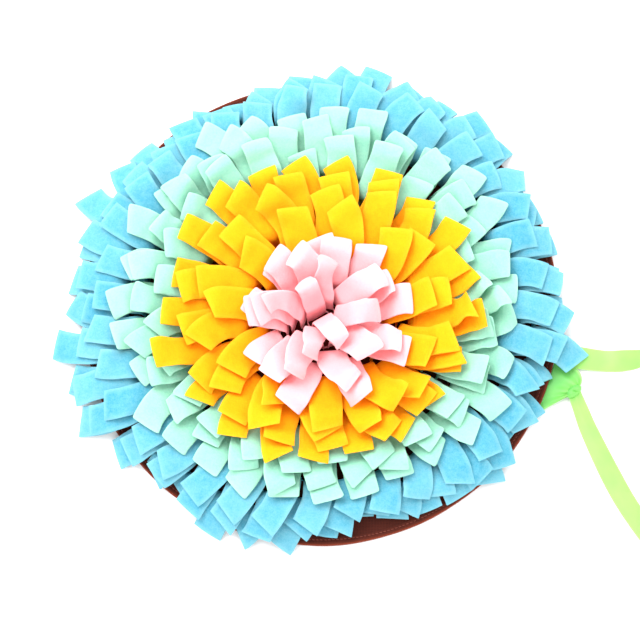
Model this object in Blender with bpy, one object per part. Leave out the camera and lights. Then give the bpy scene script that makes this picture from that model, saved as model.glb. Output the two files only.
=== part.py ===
"""Round snuffle mat: a thin cloth disc with rings of cut fringe sewn on it and a ribbon tie at its rim.

Units are metres, +Z is up, and the origin is the centre of the disc's underside.
Each ring is one band of cloth: a narrow root strip that is sewn down, cut above it into straight locks.
The locks are laid from the rim inwards. Each one rises from its root, bends outwards and lies on the heap
of those already laid.
"""

import math

import bmesh
import bpy
import numpy as np

# Disc
BASE_RADIUS = 0.210
BASE_THICKNESS = 0.0026
HEM_WIDTH = 0.007
HEM_THICKNESS = 0.0032
HEM_ROUNDING = 0.0008
BASE_SIDES = 48

# Fringe
LOCK_THICKNESS = 0.0016
LOCK_GAP = 0.0014
ROOT_STRIP_HEIGHT = 0.003
SEAM_GAP = 0.0003
ROOT_BOTTOM = BASE_THICKNESS + SEAM_GAP
ROOT_TOP = ROOT_BOTTOM + ROOT_STRIP_HEIGHT
LOCK_SEGMENTS = 5
SEED = 14

# Tie: one ribbon, its middle folded into the hem. One end runs straight out, the other is gathered in a knot.
TIE_THICKNESS = 0.001
TIE_SEAM_ANGLES = (-12.5, -27.0)
TIE_SEAM_HEIGHT = 0.0018
KNOT_CENTRE = (0.2200, -0.0765, 0.0062)
KNOT_HALF_SIZE = (0.0078, 0.0045, 0.0050)
KNOT_TURN = 40.0
TIE_STEPS = 12

# x, y, height of the underside, width, roll (degrees, its left edge up)
STRAIGHT_TAIL = [
    (0.2075, -0.0430, 0.0013, 0.0190, 0),
    (0.2280, -0.0462, 0.0022, 0.0200, 0),
    (0.2520, -0.0485, 0.0001, 0.0190, 0),
    (0.2700, -0.0485, 0.0001, 0.0190, 30),
    (0.2860, -0.0470, 0.0001, 0.0190, 52),
    (0.3030, -0.0490, 0.0001, 0.0190, 20),
    (0.3220, -0.0560, 0.0001, 0.0190, 0),
    (0.3420, -0.0660, 0.0001, 0.0190, 0),
]
KNOTTED_TAIL = [
    (0.2197, -0.0760, 0.0050, 0.0110, 0),
    (0.2260, -0.0920, 0.0016, 0.0135, 0),
    (0.2335, -0.1120, 0.0001, 0.0155, 0),
    (0.2500, -0.1490, 0.0001, 0.0180, 0),
    (0.2665, -0.1800, 0.0001, 0.0180, 0),
    (0.2900, -0.2120, 0.0001, 0.0190, 0),
    (0.3180, -0.2380, 0.0001, 0.0190, 0),
]

# Laying: the heap is a grid of the height reached so far
HEAP_CELL = 0.00125
HEAP_REACH = 0.275
CLEARANCE = 0.0007
EDGE_CLEARANCE = 0.002
FREE_REACH = 0.009
LAY_STEP = 0.0015
LAY_SPREAD = 3
ACROSS = np.linspace(-1.0, 1.0, 17)
BANK = 0.4
FULL_SWIRL_REACH = 0.034
MOST_SPREADS = 1.5

# Two lines for each ring, the outermost first:
# name, cloth, centre (x, y), root radius, locks, tip radius,
# stalk: how far a lock stands straight up before it bends, angle at the tip (degrees above level),
# swirl: how far the tips lean round the mat, stray: spread of that lean, curl: spread of the tip angle,
# ragged: spread of the reach, follows: share of OUTLINE that the ring takes up
RINGS = [
    ("blue_outer", "felt_blue", (0, 0), 0.186, 41, 0.216,
     0.002, -32, -0.008, 0.005, 7, 0.006, 1.0),
    ("blue_middle", "felt_blue", (0, 0), 0.171, 39, 0.210,
     0.005, -24, -0.009, 0.005, 7, 0.005, 0.75),
    ("blue_inner", "felt_blue", (0, 0), 0.155, 36, 0.200,
     0.007, -22, -0.009, 0.004, 7, 0.003, 0.4),
    ("mint_outer", "fleece_mint", (-0.003, -0.001), 0.136, 31, 0.178,
     0.007, -32, 0.004, 0.006, 10, 0.005, 0.0),
    ("mint_middle", "fleece_mint", (-0.003, -0.002), 0.121, 28, 0.164,
     0.009, -30, 0.004, 0.006, 10, 0.005, 0.0),
    ("mint_inner", "fleece_mint", (-0.003, -0.004), 0.106, 24, 0.149,
     0.011, -28, 0.003, 0.006, 10, 0.005, 0.0),
    ("yellow_outer", "felt_yellow", (-0.001, -0.008), 0.091, 21, 0.135,
     0.012, -26, 0.006, 0.005, 8, 0.003, 0.0),
    ("yellow_second", "felt_yellow", (0, -0.010), 0.078, 17, 0.125,
     0.013, -26, 0.007, 0.005, 8, 0.003, 0.0),
    ("yellow_third", "felt_yellow", (0.001, -0.012), 0.065, 14, 0.113,
     0.014, -28, 0.008, 0.005, 8, 0.003, 0.0),
    ("yellow_inner", "felt_yellow", (0.003, -0.015), 0.053, 11, 0.099,
     0.015, -30, 0.008, 0.005, 8, 0.004, 0.0),
    ("pink_outer", "fleece_pink", (0.003, -0.016), 0.0418, 9, 0.077,
     0.017, -35, 0.000, 0.007, 10, 0.005, 0.0),
    ("pink_second", "fleece_pink", (0.001, -0.0145), 0.0330, 7, 0.068,
     0.018, -42, 0.002, 0.007, 10, 0.004, 0.0),
    ("pink_third", "fleece_pink", (-0.001, -0.013), 0.0243, 5, 0.057,
     0.019, -50, 0.002, 0.007, 10, 0.004, 0.0),
    ("pink_inner", "fleece_pink", (-0.002, -0.012), 0.0158, 4, 0.046,
     0.020, -58, 0.003, 0.006, 8, 0.003, 0.0),
    ("pink_heart", "fleece_pink", (-0.002, -0.012), 0.0102, 2, 0.033,
     0.022, -65, 0.003, 0.001, 5, 0.001, 0.0),
]
ROOT_ANGLE = 88
BEND = 3.6

# Share of its lean by which a lock of each cloth sets out the other way, so that it curves
LEAN_BACK = {"felt_blue": 0.3, "fleece_mint": 0.5, "felt_yellow": 0.5, "fleece_pink": 0.4}

# How far the fringe reaches round the mat:
# azimuth (degrees, counter-clockwise from +X), tip radius of the outer ring
OUTLINE = [
    (2, 0.229), (12, 0.222), (31, 0.221), (48, 0.224), (64, 0.229), (81, 0.227),
    (95, 0.223), (109, 0.212), (121, 0.217), (132, 0.213), (145, 0.228), (162, 0.234),
    (179, 0.223), (193, 0.236), (209, 0.238), (231, 0.219), (245, 0.222), (261, 0.217),
    (279, 0.205), (300, 0.207), (316, 0.225), (329, 0.212), (342, 0.211), (349, 0.233),
]
OUTLINE_MEAN = 0.2225

# Azimuths (degrees) where the two outer rings part and the hem shows between their locks
PARTINGS = [11, 41, 77, 112, 154, 212, 237, 257, 302, 322, 342]
PARTING_REACH = 5.0
PARTING_PUSH = 0.005

# How far the circle of a ring's tips lies off the circle of its roots: (x, y)
TIP_SHIFTS = {
    "pink_outer": (0.002, -0.004),
    "pink_second": (0.003, -0.006),
    "pink_third": (0.003, -0.006),
    "pink_inner": (0.003, -0.005),
    "pink_heart": (0.003, -0.004),
}

# Locks that lie well out of their ring: ring, azimuth (degrees), extra reach, extra lean
STRAYS = [
    ("yellow_outer", 31, 0.010, 0.006),
    ("yellow_outer", 204, 0.014, -0.004),
    ("yellow_outer", 350, 0.007, 0.004),
    ("pink_outer", 268, 0.010, 0.0),
    ("pink_outer", 252, 0.006, 0.0),
]

# cloth or ribbon: colour, roughness
MATERIALS = {
    "base_brown": ((0.070, 0.020, 0.013), 0.9),
    "felt_blue": ((0.130, 0.560, 0.830), 0.95),
    "fleece_mint": ((0.450, 0.900, 0.780), 0.95),
    "felt_yellow": ((0.950, 0.600, 0.015), 0.95),
    "fleece_pink": ((0.950, 0.560, 0.620), 0.95),
    "ribbon_green": ((0.300, 0.830, 0.130), 0.6),
}


def clear_scene():
    for old in list(bpy.data.objects):
        bpy.data.objects.remove(old)


def material_named(name):
    """The Principled material of one cloth, made on first use."""
    found = bpy.data.materials.get(name)
    if found:
        return found
    colour, roughness = MATERIALS[name]
    made = bpy.data.materials.new(name)
    made.use_nodes = True
    shader = made.node_tree.nodes["Principled BSDF"]
    shader.inputs["Base Color"].default_value = (*colour, 1.0)
    shader.inputs["Roughness"].default_value = roughness
    shader.inputs["Metallic"].default_value = 0.0
    return made


def object_from(name, points, faces, material):
    """A named object in the scene from points and faces, with its normals pointing out."""
    mesh = bpy.data.meshes.new(name)
    mesh.from_pydata([tuple(point) for point in points], [], faces)
    work = bmesh.new()
    work.from_mesh(mesh)
    bmesh.ops.recalc_face_normals(work, faces=work.faces)
    work.to_mesh(mesh)
    work.free()
    mesh.materials.append(material_named(material))
    made = bpy.data.objects.new(name, mesh)
    bpy.context.scene.collection.objects.link(made)
    return made


class Heap:
    """The height of the topmost cloth over each spot of the floor, on a square grid."""

    def __init__(self):
        side = np.arange(-HEAP_REACH, HEAP_REACH, HEAP_CELL)
        x, y = np.meshgrid(side, side, indexing="ij")
        on_base = np.hypot(x, y) < BASE_RADIUS + EDGE_CLEARANCE
        self.top = np.where(on_base, HEM_THICKNESS + EDGE_CLEARANCE - CLEARANCE, 0.0)

    def cells(self, places):
        found = np.rint((places[..., :2] + HEAP_REACH) / HEAP_CELL).astype(int)
        return np.clip(found, 1, self.top.shape[0] - 2)

    def over(self, places):
        cells = self.cells(places)
        return self.top[cells[..., 0], cells[..., 1]]

    def cover(self, places, heights):
        """Raises the heap to these heights at these places and at the cells round each."""
        cells = self.cells(places)
        for east in (-1, 0, 1):
            for north in (-1, 0, 1):
                np.maximum.at(self.top, (cells[..., 0] + east, cells[..., 1] + north), heights)


def free_profile(length_out, stalk, tip_angle, reach):
    """Height of an unsupported lock at each distance out in reach. It stands straight for its stalk, then its
    angle falls off towards tip_angle, and it is as long as it takes to come length_out from its root."""
    share = np.linspace(0.0, 1.0, 161)
    angle = np.radians(tip_angle + (ROOT_ANGLE - tip_angle) * (1 - share) ** BEND)
    middle = (angle[1:] + angle[:-1]) / 2
    out = np.concatenate([[0.0], np.cumsum(np.cos(middle))])
    up = np.concatenate([[0.0], np.cumsum(np.sin(middle))])
    foot_out = stalk / math.tan(math.radians(ROOT_ANGLE))
    scale = (length_out - foot_out) / out[-1]
    out = np.concatenate([[0.0], foot_out + out * scale])
    up = np.concatenate([[0.0], stalk + up * scale])
    return np.interp(reach, out, up)


def widened(rise):
    """The rise spread over its neighbours and then averaged: smooth, and nowhere lower than before."""
    padded = np.pad(rise, LAY_SPREAD, mode="edge")
    windows = np.lib.stride_tricks.sliding_window_view(padded, 2 * LAY_SPREAD + 1)
    highest = np.pad(windows.max(axis=1), LAY_SPREAD, mode="edge")
    return np.lib.stride_tricks.sliding_window_view(highest, 2 * LAY_SPREAD + 1).mean(axis=1)


def lay_lock(heap, foot, azimuth, width, length_out, stalk, tip_angle, drift, lean_back, roll):
    """Lays one lock on the heap. Returns its centre line, its side directions, the height of its left side
    over its middle, and the length along it at each point of the line."""
    out = np.array([math.cos(azimuth), math.sin(azimuth), 0.0])
    side = np.array([-out[1], out[0], 0.0])
    reach = np.append(np.arange(0.0, length_out - LAY_STEP / 2, LAY_STEP), length_out)
    share = reach / length_out
    bow = drift * (share ** 2 - lean_back * share) / (1 - lean_back)
    plan = foot + np.outer(reach, out) + np.outer(bow, side)
    heading = np.arctan2(drift * (2 * share - lean_back) / (1 - lean_back), length_out)
    across = np.outer(np.cos(heading), side) - np.outer(np.sin(heading), out)

    height = ROOT_TOP + free_profile(length_out, stalk, tip_angle, reach)
    slope = np.gradient(height, reach)
    lean = width / 2 * np.sin(roll + BANK * heading) * share
    half_thick = LOCK_THICKNESS / 2 * np.sqrt(1 + slope ** 2)
    spots = plan[:, None, :] + across[:, None, :] * (ACROSS[None, :, None] * width / 2)
    floor = heap.over(spots) + CLEARANCE + np.minimum(half_thick, 2 * LOCK_THICKNESS)[:, None]
    floor[reach < FREE_REACH] = -1.0

    centre, tilt = height.copy(), lean.copy()
    for _ in range(30):
        gap = floor - (centre[:, None] + tilt[:, None] * ACROSS[None, :])
        worst = gap.argmax(axis=1)
        short = np.maximum(gap[np.arange(len(reach)), worst], 0.0)
        where = ACROSS[worst]
        centre += short / (1 + where ** 2)
        tilt += short * where / (1 + where ** 2)
    left = np.maximum(centre - tilt - (height - lean), 0.0)
    right = np.maximum(centre + tilt - (height + lean), 0.0)
    ease = np.clip(reach / FREE_REACH, 0, 1) ** 2
    left, right = widened(left) * ease, widened(right) * ease
    centre = height + (left + right) / 2
    tilt = lean + (right - left) / 2

    # the lock is built of flat faces, so it is lifted wherever a face would still cut into what lies under it
    for _ in range(4):
        line = np.column_stack([plan[:, :2], centre])
        along = np.concatenate([[0.0], np.cumsum(np.linalg.norm(np.diff(line, axis=0), axis=1))])
        centres, halves, normals = faces_of(line, across, tilt, along, width)
        under = centres[:, None, :] + halves[:, None, :] * ACROSS[None, :, None]
        under = under - normals[:, None, :] * LOCK_THICKNESS / 2
        short = (heap.over(under) + CLEARANCE / 2 - under[..., 2]).max(axis=1)
        at = (centres - foot) @ out
        short[at < FREE_REACH] = 0.0
        lift = widened(np.interp(reach, at, np.maximum(short, 0.0))) * ease
        if lift.max() <= 0:
            break
        centre = centre + lift
    return line, across, tilt, along


def stations_of(line, across, tilt, along, width, count):
    """Centre points, half-width vectors and normals at count + 1 stations of a lock, closer at its bend."""
    steps = np.diff(line, axis=0)
    angle = np.unwrap(np.arctan2(steps[:, 2], np.linalg.norm(steps[:, :2], axis=1)))
    turn = np.abs(np.diff(angle, prepend=angle[0]))
    weight = np.concatenate([[0.0], np.cumsum(np.diff(along) + 0.012 * turn)])
    at = np.interp(np.linspace(0.0, weight[-1], count + 1), weight, along)
    centres = np.stack([np.interp(at, along, line[:, k]) for k in range(3)], axis=1)
    sides = np.stack([np.interp(at, along, across[:, k]) for k in range(3)], axis=1)
    sine = np.clip(np.interp(at, along, tilt) / (width / 2), -0.8, 0.8)
    sides = sides / np.linalg.norm(sides, axis=1)[:, None] * np.sqrt(1 - sine ** 2)[:, None]
    sides[:, 2] = sine
    tangent = np.gradient(centres, axis=0)
    normals = np.cross(tangent, sides)
    normals /= np.linalg.norm(normals, axis=1)[:, None]
    return centres, sides * width / 2, normals


def faces_of(line, across, tilt, along, width):
    """The stations of the flat-faced lock as it is built, filled in evenly between them."""
    stations = stations_of(line, across, tilt, along, width, LOCK_SEGMENTS)
    at = np.linspace(0, LOCK_SEGMENTS, 10 * LOCK_SEGMENTS + 1)
    known = np.arange(LOCK_SEGMENTS + 1)
    return [
        np.stack([np.interp(at, known, values[:, k]) for k in range(3)], axis=1)
        for values in stations
    ]


def parting_push(azimuth):
    """How far a lock at this azimuth leans away from the nearest parting."""
    away = (np.degrees(azimuth) - np.array(PARTINGS) + 180) % 360 - 180
    nearest = away[np.abs(away).argmin()]
    return math.copysign(max(0.0, 1 - abs(nearest) / (2 * PARTING_REACH)), nearest) * PARTING_PUSH


def spread(chance):
    """A chance number about 0 with a spread of 1 and no far strays."""
    return np.clip(chance.normal(), -MOST_SPREADS, MOST_SPREADS)


def lay_rings():
    """Lays every lock of every ring, from the rim inwards. Returns each ring's centre, radius, lock width
    and locks, in their order round it."""
    chance = np.random.default_rng(SEED)
    heap = Heap()
    for piece in tie_surfaces():
        heap.cover(piece, piece[..., 2] + TIE_THICKNESS / 2 + EDGE_CLEARANCE - CLEARANCE)
    laid = {}
    for name, cloth, centre, radius, count, tip_radius, *form in RINGS:
        stalk, tip_angle, swirl, stray, curl, ragged, follows = form
        pitch = 2 * math.pi / count
        width = 2 * radius * math.sin(pitch / 2) - LOCK_GAP
        foot_radius = math.sqrt(radius ** 2 - (width / 2) ** 2)
        shift = TIP_SHIFTS.get(name, (0.0, 0.0))
        phase = chance.uniform(0, pitch)
        azimuths = phase + np.arange(count) * pitch
        extra = np.zeros((count, 2))
        for ring, at, reach_more, lean_more in STRAYS:
            if ring == name:
                off = (np.degrees(azimuths) - at + 180) % 360 - 180
                extra[np.abs(off).argmin()] = reach_more, lean_more
        locks = [None] * count
        for index in chance.permutation(count):
            azimuth = azimuths[index]
            outline = np.interp(np.degrees(azimuth), *zip(*OUTLINE), period=360) - OUTLINE_MEAN
            length_out = tip_radius + follows * outline - foot_radius
            length_out += ragged * spread(chance) + extra[index, 0]
            length_out += shift[0] * math.cos(azimuth) + shift[1] * math.sin(azimuth)
            drift = swirl + stray * spread(chance) + extra[index, 1]
            if name in ("blue_outer", "blue_middle"):
                drift += parting_push(azimuth)
            drift *= min(1.0, (length_out / FULL_SWIRL_REACH) ** 2)
            own_tip = tip_angle + curl * spread(chance)
            roll = chance.normal(0, math.radians(4))
            out = np.array([math.cos(azimuth), math.sin(azimuth), 0.0])
            foot = np.array([*centre, 0.0]) + foot_radius * out
            line = lay_lock(
                heap, foot, azimuth, width, length_out, stalk, own_tip, drift, LEAN_BACK[cloth], roll
            )
            cover(heap, stations_of(*line, width, 56))
            cover(heap, faces_of(*line, width))
            locks[index] = (azimuth, line)
        laid[name] = (centre, radius, width, locks)
    return laid


def cover(heap, stations):
    """Raises the heap to the top of a laid lock."""
    centres, halves, normals = stations
    places = centres[:, None, :] + halves[:, None, :] * np.linspace(-1, 1, 27)[None, :, None]
    upright = np.maximum(np.abs(normals[:, 2]), 0.25)
    heights = places[..., 2] + (LOCK_THICKNESS / 2 / upright)[:, None]
    heap.cover(places, heights)


def through(table, count):
    """count points on a smooth curve that passes through the rows of a table of numbers."""
    rows = np.array(table, float)
    ahead = np.diff(rows, axis=0)
    slopes = np.concatenate([ahead[:1], (ahead[1:] + ahead[:-1]) / 2, ahead[-1:]])
    at = np.linspace(0.0, len(rows) - 1, count)
    first = np.minimum(at.astype(int), len(rows) - 2)
    t = (at - first)[:, None]
    start, end = rows[first], rows[first + 1]
    return (
        start * (2 * t ** 3 - 3 * t ** 2 + 1) + end * (3 * t ** 2 - 2 * t ** 3)
        + slopes[first] * (t ** 3 - 2 * t ** 2 + t) + slopes[first + 1] * (t ** 3 - t ** 2)
    )


def tail_surface(table, along, across):
    """The middle surface of a ribbon tail: a level strip that is rolled about its own centre line."""
    rows = through(table, along)
    heading = np.gradient(rows[:, :2], axis=0)
    heading /= np.linalg.norm(heading, axis=1)[:, None]
    roll = np.radians(rows[:, 4])
    left = np.stack([-heading[:, 1] * np.cos(roll), heading[:, 0] * np.cos(roll), np.sin(roll)], axis=1)
    centre = rows[:, :3].copy()
    centre[:, 2] += rows[:, 3] / 2 * np.sin(roll) + TIE_THICKNESS / 2 * np.cos(roll)
    reach = np.linspace(-0.5, 0.5, across)
    return centre[:, None, :] + left[:, None, :] * rows[:, None, 3:4] * reach[None, :, None]


def fold_surface(along, across):
    """The middle surface of the folded ribbon: wide at the hem and gathered at the knot."""
    share = np.linspace(0.0, 1.0, across)[None, :]
    toward = np.linspace(0.0, 1.0, along)[:, None]
    seam = np.radians(TIE_SEAM_ANGLES[0] + (TIE_SEAM_ANGLES[1] - TIE_SEAM_ANGLES[0]) * share)
    radius = BASE_RADIUS + SEAM_GAP
    turn = math.radians(KNOT_TURN)
    across_knot = KNOT_HALF_SIZE[0] * 0.8 * (1 - 2 * share)
    x = (1 - toward) * radius * np.cos(seam) + toward * (KNOT_CENTRE[0] + across_knot * math.cos(turn))
    y = (1 - toward) * radius * np.sin(seam) + toward * (KNOT_CENTRE[1] + across_knot * math.sin(turn))
    bow = 4 * toward * (1 - toward) * (1 - share) ** 2
    z = TIE_SEAM_HEIGHT + (KNOT_CENTRE[2] - TIE_SEAM_HEIGHT) * toward ** 0.8 + 0 * share
    return np.stack([x + 0.010 * bow, y + 0.001 * bow, z], axis=-1)


def tie_surfaces():
    """The tie's three cloth surfaces and the top of its knot, sampled finely for laying locks over them."""
    return [
        tail_surface(STRAIGHT_TAIL, 90, 17),
        tail_surface(KNOTTED_TAIL, 90, 17),
        fold_surface(40, 41),
        knot_points(16, 24),
    ]


def knot_points(around, along):
    """The knot's surface: a lying egg shape, long across the tail that leaves it."""
    lap = np.linspace(0.0, 2 * math.pi, around, endpoint=False)[None, :]
    pole = np.linspace(0.0, math.pi, along)[:, None]
    x = KNOT_HALF_SIZE[0] * np.cos(pole) + 0 * lap
    y = KNOT_HALF_SIZE[1] * np.sin(pole) * np.cos(lap)
    z = KNOT_HALF_SIZE[2] * np.sin(pole) * np.sin(lap)
    turn = math.radians(KNOT_TURN)
    return np.stack([
        KNOT_CENTRE[0] + x * math.cos(turn) - y * math.sin(turn),
        KNOT_CENTRE[1] + x * math.sin(turn) + y * math.cos(turn),
        KNOT_CENTRE[2] + z,
    ], axis=-1)


def sheet_solid(name, surface, thickness, cloth):
    """A closed sheet of even thickness about a grid of middle points."""
    rows, columns = surface.shape[:2]
    normal = np.cross(np.gradient(surface, axis=0), np.gradient(surface, axis=1))
    normal /= np.linalg.norm(normal, axis=2)[..., None]
    points = np.concatenate([(surface + normal * thickness / 2).reshape(-1, 3),
                             (surface - normal * thickness / 2).reshape(-1, 3)])
    below = rows * columns
    cell = [(r * columns + c, r * columns + c + 1, (r + 1) * columns + c + 1, (r + 1) * columns + c)
            for r in range(rows - 1) for c in range(columns - 1)]
    faces = cell + [tuple(below + k for k in reversed(quad)) for quad in cell]
    edge = [c for c in range(columns)] + [r * columns + columns - 1 for r in range(1, rows)]
    edge += [(rows - 1) * columns + c for c in range(columns - 2, -1, -1)]
    edge += [r * columns for r in range(rows - 2, 0, -1)]
    faces += [(here, below + here, below + there, there) for here, there in zip(edge, edge[1:] + edge[:1])]
    return object_from(name, points, faces, cloth)


def knot_solid(name, around, along, cloth):
    """The closed knot, its two ends each one point."""
    grid = knot_points(around, along)
    points = [grid[0, 0], grid[-1, 0], *grid[1:-1].reshape(-1, 3)]
    rings = along - 2
    faces = []
    for k in range(around):
        following = (k + 1) % around
        faces.append((0, 2 + following, 2 + k))
        faces.append((1, 2 + (rings - 1) * around + k, 2 + (rings - 1) * around + following))
        for ring in range(rings - 1):
            low, high = 2 + ring * around, 2 + (ring + 1) * around
            faces.append((low + k, low + following, high + following, high + k))
    return object_from(name, points, faces, cloth)


def tie_ribbon():
    """The whole tie as one body: the fold from the hem, the knot and the two tails joined."""
    whole = sheet_solid("tie_ribbon", fold_surface(6, 9), TIE_THICKNESS, "ribbon_green")
    parts = [
        sheet_solid(name, tail_surface(table, TIE_STEPS + 1, 2), TIE_THICKNESS, "ribbon_green")
        for name, table in (("tail_straight", STRAIGHT_TAIL), ("tail_knotted", KNOTTED_TAIL))
    ]
    parts.insert(1, knot_solid("knot", 10, 8, "ribbon_green"))
    for part in parts:
        join = whole.modifiers.new(part.name, "BOOLEAN")
        join.operation = "UNION"
        join.solver = "EXACT"
        join.object = part
    evaluated = whole.evaluated_get(bpy.context.evaluated_depsgraph_get())
    joined = bpy.data.meshes.new_from_object(evaluated)
    whole.modifiers.clear()
    whole.data = joined
    for part in parts:
        bpy.data.objects.remove(part)
    return whole


def ring_solid(name, cloth, centre, radius, width, locks):
    """One fringe band: its root strip stands on the disc, and each lock grows from the strip's top."""
    points, faces = [], []
    half_angle = math.asin(width / 2 / radius)
    half_thick = LOCK_THICKNESS / 2

    def add(point):
        points.append(tuple(point))
        return len(points) - 1

    def root_edge(azimuth):
        """The strip's four corners at one azimuth: inner bottom, outer bottom, outer top, inner top."""
        c, s = math.cos(azimuth), math.sin(azimuth)
        inner, outer = radius - half_thick, radius + half_thick
        x, y = centre
        return [
            add((x + inner * c, y + inner * s, ROOT_BOTTOM)),
            add((x + outer * c, y + outer * s, ROOT_BOTTOM)),
            add((x + outer * c, y + outer * s, ROOT_TOP)),
            add((x + inner * c, y + inner * s, ROOT_TOP)),
        ]

    edges = [(root_edge(azimuth - half_angle), root_edge(azimuth + half_angle)) for azimuth, _ in locks]
    for index, (start, end) in enumerate(edges):
        following = edges[(index + 1) % len(edges)][0]
        # under a lock the strip has no top face, because the lock grows from it
        for a, b, sides in ((start, end, (3, 0, 1)), (end, following, (0, 1, 2, 3))):
            for k in sides:
                faces.append((a[k], a[(k + 1) % 4], b[(k + 1) % 4], b[k]))
        ring = [start[3], start[2], end[2], end[3]]
        centres, halves, normals = stations_of(*locks[index][1], width, LOCK_SEGMENTS)
        for centre, half, normal in zip(centres[1:], halves[1:], normals[1:]):
            thick = normal * half_thick
            # normals point up and inwards, so minus is the outer face of a standing lock
            corners = [
                add(centre - half + thick), add(centre - half - thick),
                add(centre + half - thick), add(centre + half + thick),
            ]
            for k in range(4):
                faces.append((ring[k], ring[(k + 1) % 4], corners[(k + 1) % 4], corners[k]))
            ring = corners
        faces.append(tuple(ring))
    return object_from(name, points, faces, cloth)


def base_disc():
    """The cloth disc with its turned hem, a profile carried round the axis."""
    profile = [
        (0.0, 0.0),
        (BASE_RADIUS - HEM_ROUNDING, 0.0),
        (BASE_RADIUS, HEM_ROUNDING),
        (BASE_RADIUS, HEM_THICKNESS - HEM_ROUNDING),
        (BASE_RADIUS - HEM_ROUNDING, HEM_THICKNESS),
        (BASE_RADIUS - HEM_WIDTH, HEM_THICKNESS),
        (BASE_RADIUS - HEM_WIDTH - HEM_ROUNDING, BASE_THICKNESS),
        (0.0, BASE_THICKNESS),
    ]
    points = [(0.0, 0.0, 0.0), (0.0, 0.0, BASE_THICKNESS)]
    rings = profile[1:-1]
    for step in range(BASE_SIDES):
        turn = 2 * math.pi * step / BASE_SIDES
        points += [(r * math.cos(turn), r * math.sin(turn), z) for r, z in rings]
    faces = []
    size = len(rings)
    for step in range(BASE_SIDES):
        here, there = 2 + step * size, 2 + (step + 1) % BASE_SIDES * size
        faces.append((0, there, here))
        faces += [(here + k, there + k, there + k + 1, here + k + 1) for k in range(size - 1)]
        faces.append((here + size - 1, there + size - 1, 1))
    return object_from("base_disc", points, faces, "base_brown")


def main():
    clear_scene()
    base_disc()
    tie_ribbon()
    laid = lay_rings()
    for name, cloth, *_ in RINGS:
        ring_solid(name, cloth, *laid[name])


main()
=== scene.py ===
"""Snuffle mat: a woven disc covered in rings of cut felt and fleece strips, with a ribbon tie at its rim.

Units are metres and +Z is up. The strips are laid one by one, from the rim inwards, on a grid that holds the
height of the heap so far, so each one bends outwards and lies on those below it.
"""

import functools
import math

import bpy
import numpy as np
from bpy.props import FloatProperty, FloatVectorProperty, PointerProperty
from bpy.types import Operator, Panel, PropertyGroup
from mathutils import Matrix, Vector


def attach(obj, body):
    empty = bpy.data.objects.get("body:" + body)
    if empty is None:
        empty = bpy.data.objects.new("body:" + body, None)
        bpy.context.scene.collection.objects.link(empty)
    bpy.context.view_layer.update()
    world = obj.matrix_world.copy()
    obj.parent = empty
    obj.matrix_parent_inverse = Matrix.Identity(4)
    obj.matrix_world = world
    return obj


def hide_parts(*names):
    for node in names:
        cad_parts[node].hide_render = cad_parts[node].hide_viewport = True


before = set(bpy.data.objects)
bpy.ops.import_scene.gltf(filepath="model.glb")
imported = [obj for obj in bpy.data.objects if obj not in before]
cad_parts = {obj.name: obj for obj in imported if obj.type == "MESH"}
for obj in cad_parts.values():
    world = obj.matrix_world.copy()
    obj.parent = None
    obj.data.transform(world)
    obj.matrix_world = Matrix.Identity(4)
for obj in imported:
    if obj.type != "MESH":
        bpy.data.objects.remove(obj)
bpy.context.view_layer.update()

bl_info = {
    "name": "Snuffle mat",
    "version": (1, 0, 0),
    "blender": (4, 5, 0),
    "location": "3D View > Sidebar > Snuffle mat",
    "description": "Builds a round snuffle mat of felt and fleece strips with a ribbon tie",
    "category": "Object",
}

# Disc and its hem
BASE_RADIUS = 0.210
BASE_THICKNESS = 0.0026
HEM_WIDTH = 0.007
HEM_THICKNESS = 0.0032
DISC_HUB = 0.004
DISC_STEPS = 360
TOP_STEPS = 14
UNDER_STEPS = 8
PUCKER = 0.00008
# times round the rim, depth and phase of each wave of its edge
OUT_OF_ROUND = [(3, 0.0004, 1.0), (7, 0.0003, 0.0), (17, 0.0002, 2.0)]

# Stitches of the hem: a stitch fills its share of the seam's pitch and slants out by a share of its length
HEM_STITCHES = 376
STITCH_INSET = 0.0046
STITCH_WIDTH = 0.0008
STITCH_FILL = 0.80
STITCH_SLANT = 0.10
STITCH_RISE = 0.4
STITCH_SUNK = 0.0002
STITCH_END = 0.12
STITCH_SIDES = 6

# Fringe, laid as the solids are
LOCK_THICKNESS = 0.0016
LOCK_GAP = 0.0014
ROOT_STRIP_HEIGHT = 0.003
SEAM_GAP = 0.0003
ROOT_BOTTOM = BASE_THICKNESS + SEAM_GAP
ROOT_TOP = ROOT_BOTTOM + ROOT_STRIP_HEIGHT
LOCK_SEGMENTS = 5
SEED = 14

# Tie: one ribbon, its middle folded into the hem. One end runs straight out, the other is gathered in a knot.
TIE_THICKNESS = 0.001
TIE_SEAM_ANGLES = (-12.5, -27.0)
TIE_SEAM_HEIGHT = 0.0018
KNOT_CENTRE = (0.2200, -0.0765, 0.0062)
KNOT_HALF_SIZE = (0.0078, 0.0045, 0.0050)
KNOT_TURN = 40.0
RIBBON_THICKNESS = 0.0006
RIBBON_WIDTH = 0.019
TIE_FOLDED = 0.035

# Its fold: share of the knot that it fills, power by which it rises, how far it bows out (x, y), and its pleats:
# depth, number, power by which they deepen and the share by which they flatten again at the knot. A pleat swings
# about a level that lies PLEAT_RISE of its depth over the cloth.
FOLD_FILL = 0.8
FOLD_RISE = 0.8
FOLD_BOW = (0.010, 0.001)
FOLD_PLEATS = (0.0021, 3.5, 1.4, 0.3)
FOLD_ROWS = 24
PLEAT_RISE = 0.25

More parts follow.
